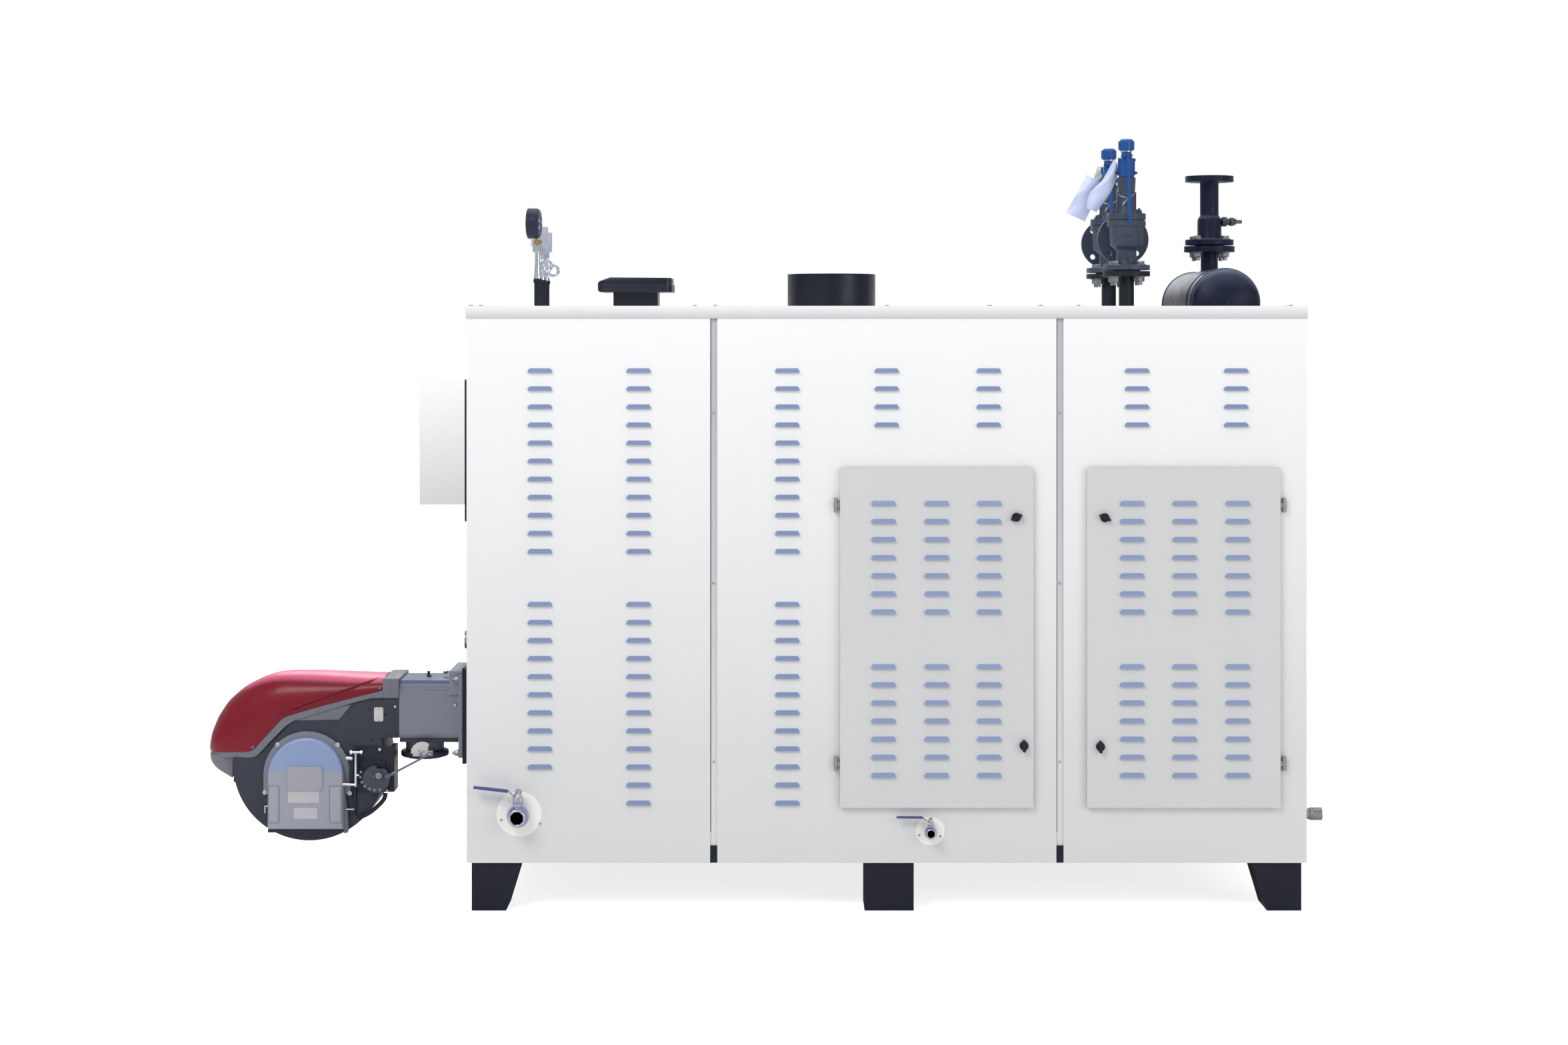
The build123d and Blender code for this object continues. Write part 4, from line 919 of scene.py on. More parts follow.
def make_arm_details():
    """Grey insert under the rim, the small plate, screws and lugs on the arm and the volute."""
    arm_face = upright(mid_y - 109)
    insert = [(567, -24), (483, 3), (362, 29), (402, -21), (483, -23)]
    piece("arm_insert", Shape().prism(burner_outline(insert), arm_face, 4, 1.5), rim_grey)
    plate = Shape().prism(plate_outline(275, -4, 15, 23, 6), arm_face, 3.5, 1)
    piece("arm_plate", plate, plate_white)
    dots = burner_screws(3.4, -112.5, (275, 14), (275, -22))
    dots.screw(burner(222, 21, -110), to_front, 5)
    piece("arm_screws", dots, bright_steel)
    holes = Shape()
    for b, u in ((304, 12), (253, -5), (297, -89)):
        holes.turn(burner(b, u, -109.5), burner(b, u, -110.8), 4.6, ease=0.3)
    lug = [(738, -200), (752, -214), (752, -228), (742, -232), (733, -222)]
    holes.prism(burner_outline(lug), upright(mid_y - 60), 16, 2)
    piece("arm_plugs", holes, rubber)


intake_back, intake_up = 505, -198
intake_half, intake_drop, intake_stand, intake_out = 122, 171, 35, 122
intake_bend, intake_lean = 12, 0.16
flange_half, flange_drop = 141, 62
panel_back, panel_up = 506, -205
pad_up, pad_half_high = -287, 59


def arch_outline(half, drop, steps=20):
    """Left foot, arch and right foot as (x, z) pairs that mirror one another."""
    foot = [(-half, -drop + (drop * i) / 5) for i in range(5)]
    arc = [(-half * cos(pi * i / steps), half * sin(pi * i / steps)) for i in range(steps + 1)]
    return foot + arc + [(-x, z) for x, z in foot[::-1]]


def make_intake_box(centre, base_y):
    """The intake's box: a flat lower face and an arched top that leans back."""
    body = Shape()
    rows = []
    for inset, depth in ((0, 0), (0, intake_stand - 10), (0.8, intake_stand - 6), (3, intake_stand - 2.5),
                         (7, intake_stand - 0.6), (11, intake_stand)):
        row = []
        for x, z in arch_outline(intake_half - inset, intake_drop - inset):
            lean = intake_lean * max(0, z - intake_bend) * depth / intake_stand
            row.append(body.mesh.verts.new((centre.x + x, base_y - depth + lean, centre.z + z)))
        rows.append(row)
    for low, high in zip(rows, rows[1:]):
        body.band(low, high)
    last = rows[-1]
    count = len(last)
    for i in range(count // 2 - 1):
        body.mesh.faces.new((last[i], last[count - 1 - i], last[count - 2 - i], last[i + 1]))
    body.mesh.faces.new((last[count // 2 - 1], last[count // 2 + 1], last[count // 2]))
    body.mesh.faces.new(rows[0][::-1])
    piece("intake_box", body, intake_silver, replaces=("burner_intake",), angle=24)


def make_intake():
    """Air intake: its box and flange, the panel, blank stickers, side pads, screws, foot and sensor."""
    centre = burner(intake_back, intake_up)
    base_y = mid_y - intake_out
    face_y = base_y - intake_stand
    make_intake_box(centre, base_y)
    flange = [(centre.x + x, centre.z + z) for x, z in arch_outline(flange_half, flange_drop)]
    piece("intake_flange", Shape().prism(flange, upright(mid_y - 109), 13, 2), head_grey)
    panel = Shape().prism(plate_outline(panel_back, panel_up, 57, 38.5, 10), upright(face_y + 6), 9, 2)
    piece("intake_panel", panel, panel_silver)
    stickers = Shape()
    for b, u, half_wide, half_high in ((510, -262, 50, 20), (503, -316, 37.5, 17.5)):
        stickers.prism(plate_outline(b, u, half_wide, half_high, 2), upright(face_y + 0.2), 0.7)
    piece("intake_stickers", stickers, sticker_pale)
    edge = [(x, face_y - 2.6, z) for x, z in plate_outline(panel_back, panel_up, 56.4, 38, 10)]
    piece("intake_panel_rim", Shape().tube(edge, 1.3, 8, closed=True), panel_silver)
    lines, pads = Shape(), Shape()
    for b, half_wide in ((606, 16.5), (407, 18)):
        outline = plate_outline(b, pad_up, half_wide, pad_half_high, 3)
        lines.tube([(x, face_y - 1, z) for x, z in outline], 0.9, 6, closed=True)
        pads.prism(outline, upright(face_y + 4), 5.2, 0.8)
    piece("intake_pad_lines", lines, rim_grey)
    piece("intake_pads", pads, panel_silver)
    corners = ((599.5, -100), (405.7, -101), (641, -254.5), (367, -257))
    screws = burner_screws(5.2, -124, *corners)
    for b, u in corners:
        screws.turn(burner(b, u, -121), burner(b, u, -124), 7.5, ease=0.5)
    piece("intake_screws", screws, bright_steel)
    foot = Shape().block(burner(626, -379, -152), burner(386, -368, -90), 2)
    piece("intake_foot", foot, rubber)
    bottle = [(0, 7), (8, 11), (60, 12), (96, 8), (140, 5), (148, 4)]
    sensor = Shape().turn(burner(379, -384, -128), burner(386, -236, -128), bottle, ease=2)
    piece("intake_sensor", sensor, rim_grey)


cam_back, cam_up = 270, -197
lever_back, lever_up = 135, -126
link_arm = 31
cam_edge = ((320.7, -185), (323, -202.3), (317.8, -219), (308.1, -232), (292, -241), (276, -245), (258, -244))


def make_servo_details():
    """Silver bracket bars beside the servomotor, its posts and its screws."""
    bars = Shape().block(burner(347, -232, -150), burner(340, -122, -144), 1)
    burner_bars(bars, ((390, -224, -147), (341, -226, -147), 5), ((376, -141, -140), (354, -142, -140), 7),
                ((362, -121, -147), (329, -121, -147), 4.5), ((343, -195, -147), (332, -195, -147), 3.5),
                ((382, -307, -134), (350, -307, -134), 2), ((639, -296, -128), (639, -320, -128), 2.5),
                ((639, -298, -128), (628, -298, -128), 2.2))
    for start, end, flats in ((329, 321, 11), (362, 354, 13)):
        bars.hexagon(burner(start, -121, -147), burner(end, -121, -147), flats)
    piece("bracket_bars", bars, bright_steel)
    posts = Shape().block(burner(366, -232, -140), burner(352, -120, -116), 2)
    posts.block(burner(353, -330, -124), burner(346, -225, -112), 1)
    piece("bracket_posts", posts, servo_dark)
    servo = burner_screws(6, -128, (269, -115))
    servo.screw(burner(245, -247, -128), to_front, 4)
    piece("servo_screws", servo, bright_steel)


def make_linkage_details():
    """Screws round the cam, the gas lever's plate and marks, and the link's adjusters."""
    dots = Shape()
    for b, u in cam_edge:
        dots.screw(burner(b * 0.97 + cam_back * 0.03 + 8, u * 0.97 + cam_up * 0.03, -142), to_front, 4.6, 2.6)
    dots.turn(burner(cam_back, cam_up, -146), burner(cam_back, cam_up, -148), 10)
    dots.screw(burner(cam_back, cam_up, -148), to_front, 5)
    dots.screw(burner(288, -202, -142), to_front, 3)
    piece("cam_screws", dots, bolt_zinc, body="burner_cam")
    marks = burner_screws(3.6, -140, (140, -116), (125, -119))
    marks.screw(burner(lever_back, lever_up, -146), to_front, 5.5)
    piece("lever_screws", marks, hinge_steel, body="gas_lever")
    quadrant = [(167, -125), (165.5, -112), (158, -100), (146, -91), (132, -87.5), (118, -89), (107.5, -95.5),
                (111, -107), (113, -121), (118, -131), (126, -135), (150, -127)]
    plate = Shape().prism(burner_outline(quadrant), upright(mid_y - 139.5), 2, 0.5)
    piece("lever_plate", plate, plate_white, body="gas_lever")
    a, b = burner(cam_back - link_arm, cam_up, -151), burner(lever_back - link_arm, lever_up, -151)
    way = (b - a).normalized()
    ends = Shape().turn(a + way * 8, a + way * 34, [(0, 4), (5, 5.5), (20, 5.5), (26, 3.4)])
    ends.turn(b - way * 18, b - way * 6, 4.4)
    ends.turn(a + way * 30, b - way * 10, 3.6, sides=16)
    piece("link_adjusters", ends, shaded_link_steel, body="burner_link_rod")


def make_conduit():
    """Ribbed conduit from the servomotor into the volute."""
    places = ((252, -258, -118), (256, -276, -122), (278, -300, -124), (306, -322, -122), (338, -338, -112))
    route = smooth_path([burner(*spot) for spot in places], 10)
    hose = Shape().tube(route, 7, 14)
    for here, ahead in zip(route[:-1:2], route[1::2]):
        step = (ahead - here).normalized() * 1.2
        hose.turn(here - step, here + step, 8, ease=0.5, sides=14)
    piece("servo_conduit", hose, rubber)


def make_head_details():
    """Stud, pins, pads and foot of the gas head, its mounting nuts, and the flange of the gas inlet."""
    stud = Shape().turn(burner(128, 103), burner(128, 122), [(0, 7), (5, 7), (7, 4.5), (19, 4.5)])
    stud.block(burner(134, 103, -8), burner(118, 107, 8), 1)
    piece("head_stud", stud, rubber)
    bolts = burner_bars(Shape(), ((44, 122), (70, 122), 5.5))
    bolts.hexagon(burner(66, 122), burner(79, 122), 16)
    pads = Shape()
    for side in (-1, 1):
        bolts.screw(burner(28, 26, side * 110), (0, side, 0), 5)
        pads.prism(plate_outline(30, 28, 6, 6, 2), upright(mid_y - 109 if side < 0 else mid_y + 112), 3, 0.6)
    piece("head_bolts", bolts, bright_steel)
    piece("head_pads", pads, head_grey)
    foot = burner_outline([(209, -86), (14, -86), (14, -96), (209, -96)])
    piece("head_foot", Shape().prism(foot, upright(mid_y + 100), 200, 2), burner_dark)
    nuts = Shape()
    for across in (-128, 128):
        for up in (-126, 112):
            nuts.bolt(burner(14, up, across), (-1, 0, 0), 18, stud=8)
    piece("mounting_nuts", nuts, bolt_zinc)
    x = flange_x - 140
    bosses = Shape()
    for a, b in ring(4, 55, 0.5):
        bosses.stack(x + a, mid_y + b, (396, 400, 11, 1, 32))
    piece("inlet_bosses", bosses, burner_dark)
    piece("inlet_bosses_dark", Shape().stack(x, mid_y, (372, 377, 60, 0.6, 32)), rubber)
    flange = Shape().stack(x, mid_y, (376, 396, [(0.5, 76), (6, 78), (14, 78), (19.5, 76)], 2, 64))
    flange.screws([burner(b, -127, -62) for b in (164, 104)], to_front, 5)
    piece("inlet_flange_edge", flange, burner_dark)


def make_motor_details():
    """Cowl grille, terminal box lid and screws on the fan motor."""
    x, z = flange_x - 487, burner_z - 170
    end = place("burner_motor")[1].y
    grille = Shape()
    for radius in (22, 36, 50, 64):
        grille.tube([(x + a, end + 0.5, z + b) for a, b in ring(48, radius)], 1.8, 8, closed=True)
    for near, far in zip(ring(8, 8), ring(8, 68)):
        grille.tube([(x + a, end + 0.5, z + b) for a, b in (near, far)], 1.6, 8)
    grille.turn((x, end - 1, z), (x, end + 2, z), 12)
    piece("motor_grille", grille, rubber)
    lid_top = z + 111
    lid = Shape().block((x - 47, mid_y + 133, z + 106), (x + 47, mid_y + 227, lid_top), 2)
    piece("terminal_lid", lid, burner_dark)
    spots = [(x + across, mid_y + away, lid_top) for across in (-40, 40) for away in (140, 220)]
    piece("terminal_screws", Shape().screws(spots, to_sky, 3.6), screw_steel)


make_cover()
make_rim()
make_housing()
make_arm_details()
make_intake()
make_servo_details()
make_linkage_details()
make_conduit()
make_head_details()
make_motor_details()

# Gauge group on the roof

riser_top = 1930
gauge_z, gauge_yaw = 2110, -5.4
dial_start, dial_sweep, dial_ticks = 225, 270, 40
pointer_angle = 190


def make_gauge():
    """Pressure gauge with a bezel, dial, pointer and ticks, screws on its back, and its stem."""
    y = gauge_ys[0]
    centre = Vector((gauge_x - 11, y, gauge_z))
    turned = Matrix.Rotation(radians(gauge_yaw), 4, "Z")
    yaw = Matrix.Translation(centre) @ turned @ Matrix.Translation(-centre)
    ink = Shape()

    def spot(out, right=0, up=0):
        """A point given towards the dial's face, to its right and up, turned with the case."""
        return yaw @ (centre + Vector((-out, -right, up)))

    def stroke(out, degrees, inner, outer, radius, sides=6):
        """A line on the dial at an angle, between two distances from its centre."""
        ends = [polar(distance, radians(degrees)) for distance in (inner, outer)]
        ink.tube([spot(out, right, up) for right, up in ends], radius, sides)

    profile = [(0, 41), (1.5, 45), (5, 47.6), (10, 48.6), (30, 48.6), (31, 49.4), (36, 49.4), (38, 48.4),
               (38, 45), (34, 44)]
    case = Shape().turn(spot(-19), spot(19), profile, sides=56)
    piece("gauge_case", case, gauge_black, replaces=("pressure_gauge",))
    dial = Shape().turn(spot(10), spot(15.5), 44.5, ease=0.2, sides=56)
    piece("gauge_dial", dial, dial_white)
    for k in range(dial_ticks + 1):
        inner = 33 if k % 10 == 0 else (36 if k % 5 == 0 else 38)
        stroke(15.7, dial_start - dial_sweep * k / dial_ticks, inner, 41, 0.7 if k % 5 == 0 else 0.35)
    stroke(17, pointer_angle, -9, 34, 0.9, 8)
    ink.turn(spot(15), spot(18), 4)
    piece("gauge_ticks", ink, ink_black)
    spots = [spot(-18.6, right, up) for right, up in ((20, 8), (20, -14), (-22, 4))]
    piece("gauge_screws", Shape().screws(spots, spot(-1) - spot(0), 4.2), bright_steel)
    fitting = Shape().stack(gauge_x, y, (2054, 2064, 8))
    fitting.hexagon((gauge_x, y, 2044), (gauge_x, y, 2056), 22)
    piece("gauge_hexagon", fitting, brass)
    stem = [(0, 11), (6, 11.5), (24, 10), (60, 8), (90, 8)]
    nut = Shape().stack(gauge_x, y, (riser_top, riser_top + 90, stem, 2),
                        (riser_top + 2, riser_top + 10, 13, 1.5))
    nut.hexagon((gauge_x, y, 2018), (gauge_x, y, 2042), 27, ease=2)
    piece("gauge_stem", nut, bright_steel)


def make_switches():
    """Two pressure switches, each on a pipe with a siphon ring."""
    cases, pipes, knobs = Shape(), Shape(), Shape()
    centre = gauge_x - 8
    rows = zip(gauge_ys[1:], (2033, 2020), (-681, -668), (1978, 1966), (20, 17))
    for y, low, ring_x, ring_z, ring_r in rows:
        pipes.stack(gauge_x, y, (riser_top, riser_top + 14, 11, 1.5), (riser_top + 10, ring_z - 4, 7))
        loop = [(ring_x + a, y - 9, ring_z + b) for a, b in ring(32, ring_r)]
        pipes.tube(loop, 5, 14, closed=True)
        bend = [(gauge_x, y, ring_z - 8), (gauge_x + 3, y - 5, ring_z), (gauge_x + 2, y - 3, ring_z + 16),
                (gauge_x - 2, y, low - 10)]
        pipes.tube(smooth_path(bend, 6), 5.5, 14)
        pipes.hexagon((gauge_x - 2, y, low - 16), (gauge_x - 2, y, low + 2), 22)
        cases.prism([(centre + a, y + b) for a, b in rounded(26, 26, 6)], level(low + 8), 64, 3)
        cases.stack(centre + 4, y, (low, low + 10, [(0, 13), (10, 22)], 1))
        for left in (-22.5, -9.5, 3.5, 16.5):
            cases.block((centre + left, y - 28, low + 14), (centre + left + 5, y + 28, low + 66), 1.2)
        knobs.stack(centre - 8, y, (low + 70, low + 73, 9, 1))
        knobs.turn((centre + 12, y + 26, low + 20), (centre + 12, y + 38, low + 20), 8, ease=1.5)
    piece("switch_cases", cases, switch_grey, replaces=("pressure_switches",))
    piece("switch_pipes", pipes, bright_steel)
    piece("switch_knobs", knobs, rubber)


make_gauge()
make_switches()

# Hatch, flue and drum

hatch_rim_z = 1915
flue_low, flue_high = 1846, 1950
drum_z, neck_r = 1855, 30
drum_near, drum_far = front + 356, front + 994


def half_width(node):
    """Half the width of a CAD node along X."""
    low, high = place(node)
    return (high.x - low.x) / 2


def make_roof_details():
    """Raised edge round the hatch cover, weld beads on the flue and the drum."""
    centre, half = middle("hatch_cover"), half_width("hatch_cover")
    loop = [(centre.x + a, centre.y + b, hatch_rim_z) for a, b in rounded(half, half, 24, 6)]
    band = Shape().tube(loop, 1.6, 8, closed=True)
    band.screws([(centre.x + across, centre.y - half, 1902) for across in (95, 60)], to_front, 3.4)
    edge = centre.x + half
    band.block((edge - 4, centre.y - 40, 1893), (edge + 1.5, centre.y + 40, 1918), 1.5)
    piece("hatch_edge", band, hatch_black)
    flue, flue_r = Shape(), half_width("flue_collar")
    for z in (flue_low, flue_high):
        flue.tube([(flue_x + a, mid_y + b, z) for a, b in ring(72, flue_r + 0.3)], 1.5, 8, closed=True)
    flue.tube([(flue_x + flue_r, mid_y, z) for z in (flue_low, flue_high)], 1.6, 8)
    piece("flue_beads", flue, flue_black)
    beads, drum_r = Shape(), half_width("steam_drum")
    for y in (drum_near + 4, drum_near + 96, drum_far - 4):
        beads.tube([(drum_x + a, y, drum_z + b) for a, b in ring(90, drum_r + 0.2)], 2.6, 8, closed=True)
    neck = [(drum_x + a, outlet_y + b, drum_z + sqrt(drum_r ** 2 - a ** 2)) for a, b in ring(40, neck_r)]
    beads.tube(neck, 3, 8, closed=True)
    piece("drum_beads", beads, drum_black)


def flange_bolts(x, y, circle, upper, lower, flats=24):
    """Four bolts through a pair of flanges, heads above and nuts below."""
    bolts = Shape()
    for a, b in ring(4, circle, 0.5):
        bolts.bolt((x + a, y + b, upper), to_sky, flats, height=flats * 0.4)
        bolts.bolt((x + a, y + b, lower), (0, 0, -1), flats, height=flats * 0.62, stud=flats * 0.45)
    return bolts


# Steam outlet

flange_bore, flange_circle, flange_hole = 26.5, 62.5, 9


def make_steam_outlet_details():
    """Steam outlet pipe with its flanges and bolts, and the cock on its side."""
    x, y, cock_z, flange_r = drum_x, outlet_y, 2126, 79

    def side(out):
        """A point on the cock's axis."""
        return x + out, y, cock_z

    pipe = [(0, 44), (7, 39.5), (62, 39), (70, 38), (80, 31), (86, 30.4), (186, 30.4), (191, 34), (193, 48)]
    outlet = Shape().stack(x, y, (2045, 2050, 46, 0.3, 48), (2049, 2067, flange_r, 1, 64),
                           (2066, 2260, pipe, 0.4, 48))
    top = Matrix.Translation((x, y, 2257))
    outlet.holed_flange(top, flange_r, flange_bore, flange_circle, flange_hole, 19)
    outlet.turn(side(30), side(44), 9)
    piece("outlet_body", outlet, drum_black, replaces=("steam_valve",))
    # Painted shade: a dark disc inside the outlet's bore.
    piece("outlet_bore_shade", Shape().stack(x, y, (2261, 2263, 27, 0.1)), rubber)
    piece("steam_outlet_bolts", flange_bolts(x, y, 62.5, 2067, 2026), bolt_zinc)
    cock = Shape().hexagon(side(40), side(57), 31, ease=2.4)
    cock.turn(side(57), side(66), 11, ease=1)
    cock.hexagon(side(64), side(82), 27, ease=4)
    cock.turn(side(82), side(107), [(0, 10), (6, 10), (8, 6), (25, 6)], ease=1)
    cock.turn((x + 73, y - 12, cock_z), (x + 73, y - 22, cock_z), 4.5, ease=1)
    piece("side_cock", cock, cock_steel)


# Safety valves

valve_outlet_z, valve_outlet_reach, valve_flange_r = 2061, 100, 82.3
bonnet_low = 2140
plug_z, drain_z = 2055, 2004
strap_low, strap_high = 2262, 2318
trunk = [(0, 40), (4, 33), (47, 32), (50, 36), (58, 44), (62, 52), (124, 54), (126, 55)]
bonnet = [(0, 40), (4, 36), (12, 30), (30, 28), (75, 27.5), (100, 29), (116, 29.5)]


def make_valve_body(side, y):
    """Body, bonnet, nuts, plugs, bolts and a dark disc of painted shade in the bore of one safety valve,
    with a rust streak at its joint.
    """
    x, outlet_z, outlet_end = safety_x, valve_outlet_z, y + valve_outlet_reach
    body = Shape().stack(x, y, (1957, 1962, 44, 0.3, 48), (1961, 1977, 74.5, 1, 64),
                         (1976, 2104, trunk, 1.2, 48), (2101, 2118.5, 61.5, 1.6, 56),
                         (2118, 2121.5, 57, 0.1, 56), (2121, 2141, 61.5, 1.6, 56),
                         (bonnet_low, 2256.5, bonnet, 0.6, 40))
    for across in (-27, 27):
        body.block((x + across - 4, y - 7, 2141), (x + across + 4, y + 7, 2210), 2)
    body.turn((x, y, outlet_z), (x, outlet_end - 17, outlet_z), 38, ease=1, sides=40)
    face = Matrix.Translation((x, 0, outlet_z)) @ upright(outlet_end)
    body.holed_flange(face, valve_flange_r, flange_bore, flange_circle, flange_hole, 18)
    for a, b in ring(4, 51, 0.5):
        body.bolt((x + a, y + b, bonnet_low), to_sky, 15, stud=6)
    body.hexagon((x, y - 50, plug_z), (x, y - 58, plug_z), 17)
    body.turn((x, y - 50, plug_z), (x, y - 55, plug_z), 13, ease=1)
    body.hexagon((x, y - 30, drain_z), (x, y - 38, drain_z), 15)
    piece(f"valve_body_{side}", body, valve_cast, replaces=(f"safety_valve_{side}",))
    # Painted shade: a dark disc inside the outlet's bore.
    bore = Shape().turn((x, outlet_end - 12, outlet_z), (x, outlet_end - 10, outlet_z), 27, ease=0.1)
    piece(f"valve_bore_shade_{side}", bore, rubber)
    piece(f"inlet_bolts_{side}", flange_bolts(x, y, 55, 1977, 1941), bolt_zinc)
    turns = [polar(62.8, radians(degrees - 90)) for degrees in range(2, 46, 4)]
    streak = [(x + a, y + b, 2100.6) for a, b in turns]
    piece(f"joint_rust_{side}", Shape().tube(streak, 1.1, 6), rust)


def make_valve_cap(side, y):
    """Cap ribs, straps, ring, lever screws and seal wires of one safety valve."""
    x = safety_x
    ribs = Shape()
    for a, b in ring(12, 22.4):
        ribs.stack(x + a, y + b, (2345, 2372, 3.4, 1.2, 10))
    for a, b in ring(6, 15, 0.5):
        ribs.stack(x + a, y + b, (2370, 2377.3, 7, 2.4, 16))
    ribs.stack(x, y, (2257, 2261, 25, 1), (2312, 2316, 24, 1), (2322, 2326, 18.5, 1))
    for left in (-27, 20):
        ribs.block((x + left, y - 6, strap_low), (x + left + 7, y + 6, strap_high), 1.5)
    piece(f"cap_ribs_{side}", ribs, cap_blue)
    piece(f"cap_ring_{side}", Shape().stack(x, y, (2337, 2343, 18, 1)), bright_steel)
    screws = Shape()
    for across, z in ((-27, 2271), (27, 2271), (22, 2312)):
        screws.bolt((x + across, y, z), (across, 0, 0), 9, washer=False, stud=3)
    for way in (-1, 1):
        screws.turn((x + way * 11, y - 34, 2324), (x + way * 15, y - 34, 2324), 4.5)
    piece(f"cap_screws_{side}", screws, rubber)
    wires = Shape().wire((x - 29, y - 8, 2202), (x - 14, y - 31, 2193), (x + 2, y - 36, 2190),
                         (x + 18, y - 29, 2200), (x + 31, y - 8, 2209))
    wires.wire((x + 18, y - 29, 2200), (x + 2, y - 36, 2188), (x - 12, y - 38, 2176), (x - 16, y - 40, 2166))
    wires.turn((x - 12, y - 36, 2174), (x - 12, y - 41, 2174), 4)
    piece(f"seal_wire_{side}", wires, bright_steel)


tag_steps, tag_thick = 16, 0.8


def make_tag(name, left_side, right_side, y_place, curl, material):
    """A blank plastic tag: a thin curled sheet spanned between its two long sides, given as (x, z) points."""
    left, right = [even_steps(smooth_path([(x, 0, z) for x, z in points], 6), tag_steps + 1)
                   for points in (left_side, right_side)]
    tag = Shape()
    fronts, backs = [], []
    for i, (a, b) in enumerate(zip(left, right)):
        u = i / tag_steps
        row = []
        for j in range(tag_steps + 1):
            v = j / tag_steps
            here = a.lerp(b, v)
            here.y = y_place + curl * (sin(pi * u) * 0.5 + sin(pi * v) * 0.9) + 1.4 * sin(9 * u + 6 * v)
            row.append(here)
        fronts.append(tag.row(row))
        backs.append(tag.row(p + Vector((0, tag_thick, 0)) for p in row))
    rims = []
    for rows in (fronts, backs):
        for low, high in zip(rows, rows[1:]):
            for j in range(tag_steps):
                tag.mesh.faces.new((low[j], low[j + 1], high[j + 1], high[j]))
        rims.append(rows[0] + [r[-1] for r in rows[1:]] + rows[-1][-2::-1] + [r[0] for r in rows[-2:0:-1]])
    tag.band(*rims)
    piece(name, tag, material, angle=60)


def make_tags():
    """Two blank film tags and a small plate, held by wires from the valve caps."""
    y = safety_ys[0]
    make_tag("tag_left", [(1066, 2268), (1034, 2210), (999, 2145)],
             [(1108, 2243), (1088, 2180), (1060, 2118)], y + 44, -8, tag_film)
    make_tag("tag_right", [(1148, 2313), (1112, 2250), (1070, 2205), (1062, 2158)],
             [(1160, 2300), (1159, 2259), (1130, 2196), (1093, 2147)], y + 14, -9, tag_film)
    make_tag("tag_small", [(1102, 2296), (1092, 2262), (1084, 2246)],
             [(1112, 2280), (1116, 2262), (1108, 2246)], y + 54, -3, plate_white)
    wires = Shape().wire((safety_x - 18, y - 6, 2322), (safety_x - 30, y, 2320), (1152, y + 8, 2308))
    wires.wire((safety_x - 18, safety_ys[1] - 20, 2262), (1128, y + 120, 2292), (1104, y + 62, 2290),
               (1088, y + 44, 2264))
    piece("tag_wires", wires, bright_steel)


make_roof_details()
make_steam_outlet_details()
for side, y in zip(("front", "rear"), safety_ys):
    make_valve_body(side, y)
    make_valve_cap(side, y)
make_tags()

# Light, floor and camera

eye_distance = 8116
eye_height = 1785
eye_x = 95
horizon_row = 488
photo_width, photo_height = 2352, 1568
focal_pixels = 4000
film_width = 36

scene = bpy.context.scene
scene.view_settings.view_transform = "Standard"

camera_data = bpy.data.cameras.new("camera")
camera_data.sensor_width = film_width
camera_data.lens = film_width * focal_pixels / photo_width
camera_data.shift_y = -(photo_height / 2 - horizon_row) / photo_width
camera_data.clip_end = 100
camera = bpy.data.objects.new("camera", camera_data)
camera.location = (eye_x * MM, (front - eye_distance) * MM, eye_height * MM)
camera.rotation_euler = (pi / 2, 0, 0)
scene.collection.objects.link(camera)
scene.camera = camera


def lamp(name, where, target, size, power):
    """A soft square lamp aimed at a point, all in metres."""
    data = bpy.data.lights.new(name, "AREA")
    data.shape = "RECTANGLE"
    data.size, data.size_y = size
    data.energy = power
    obj = bpy.data.objects.new(name, data)
    obj.location = where
    obj.rotation_euler = (Vector(target) - Vector(where)).to_track_quat("-Z", "Y").to_euler()
    scene.collection.objects.link(obj)


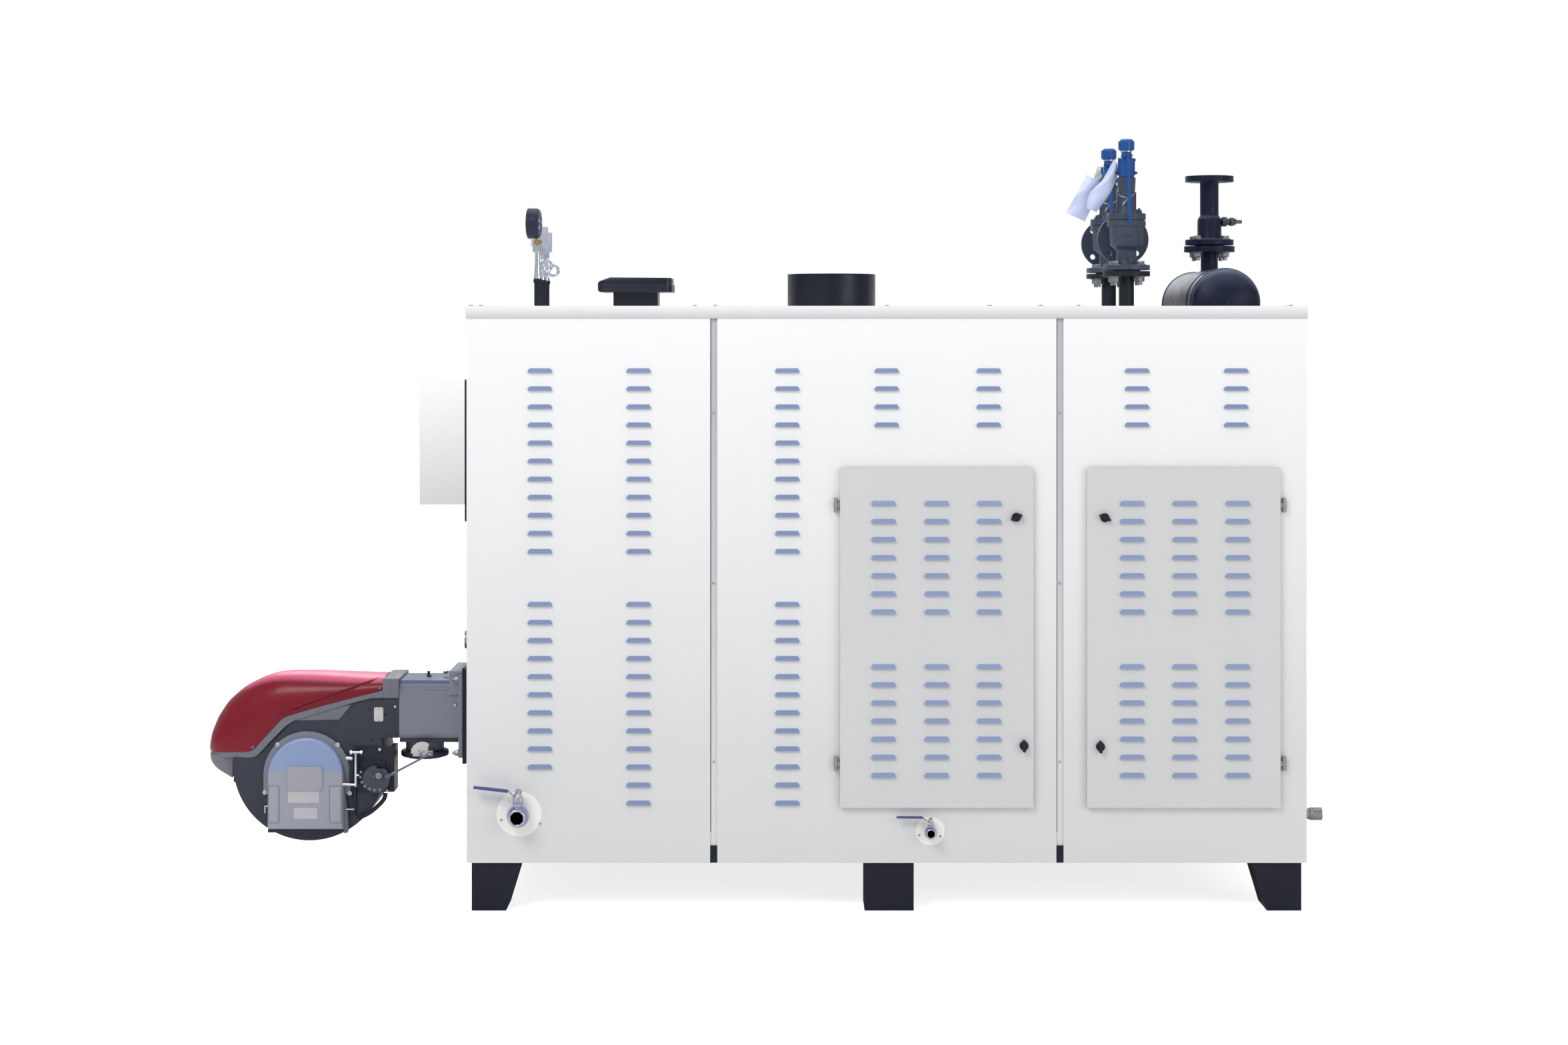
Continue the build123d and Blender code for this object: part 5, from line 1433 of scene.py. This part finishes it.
lamp("key", (-3.5, -6.5, 6.5), (0, 0, 1), (4, 3), 260)
lamp("fill", (6.0, -6.0, 3.0), (0.4, 0, 1), (4, 3), 100)
lamp("top", (0.0, 0.5, 6.5), (0, 0, 1), (6, 4), 130)
lamp("back", (-1.0, 7.0, 4.5), (0, 0, 1.2), (6, 3), 150)

world = bpy.data.worlds.new("studio")
scene.world = world
world.use_nodes = True
studio = Nodes(world.node_tree)
studio.tree.nodes.clear()
rays = studio.node("ShaderNodeLightPath").outputs
seen = studio.node("ShaderNodeMath", operation="MAXIMUM")
soft = studio.node("ShaderNodeBackground", (("Color", (0.97, 0.98, 1.0, 1)), ("Strength", 0.6)))
plain = studio.node("ShaderNodeBackground", (("Color", (1, 1, 1, 1)), ("Strength", 1.0)))
choose = studio.node("ShaderNodeMixShader")
studio.feed(seen.inputs[0], rays["Is Camera Ray"])
studio.feed(seen.inputs[1], rays["Is Transmission Ray"])
studio.feed(choose.inputs["Fac"], seen.outputs["Value"])
studio.feed(choose.inputs[1], soft.outputs["Background"])
studio.feed(choose.inputs[2], plain.outputs["Background"])
studio.feed(studio.node("ShaderNodeOutputWorld").inputs["Surface"], choose.outputs["Shader"])

floor_half = 30
floor_mesh = bpy.data.meshes.new("floor")
corners = [(floor_half * a, floor_half * b, 0) for a, b in ((-1, -1), (1, -1), (1, 1), (-1, 1))]
floor_mesh.from_pydata(corners, [], [(0, 1, 2, 3)])
floor = bpy.data.objects.new("floor", floor_mesh)
scene.collection.objects.link(floor)
matt = Finish("floor", 0.9)
matt.feed(matt.sockets["Base Color"], linear((244, 244, 244)))
matt.bump(matt.noise(30, 3), 0.2)
glow = matt.node("ShaderNodeEmission", (("Strength", 0.8),))
added = matt.node("ShaderNodeAddShader")
camera_only = matt.node("ShaderNodeMixShader")
matt.feed(added.inputs[0], matt.shader.outputs["BSDF"])
matt.feed(added.inputs[1], glow.outputs["Emission"])
matt.feed(camera_only.inputs["Fac"], matt.node("ShaderNodeLightPath").outputs["Is Camera Ray"])
matt.feed(camera_only.inputs[1], matt.shader.outputs["BSDF"])
matt.feed(camera_only.inputs[2], added.outputs["Shader"])
matt.feed(matt.tree.nodes["Material Output"].inputs["Surface"], camera_only.outputs["Shader"])
floor_mesh.materials.append(matt.material)
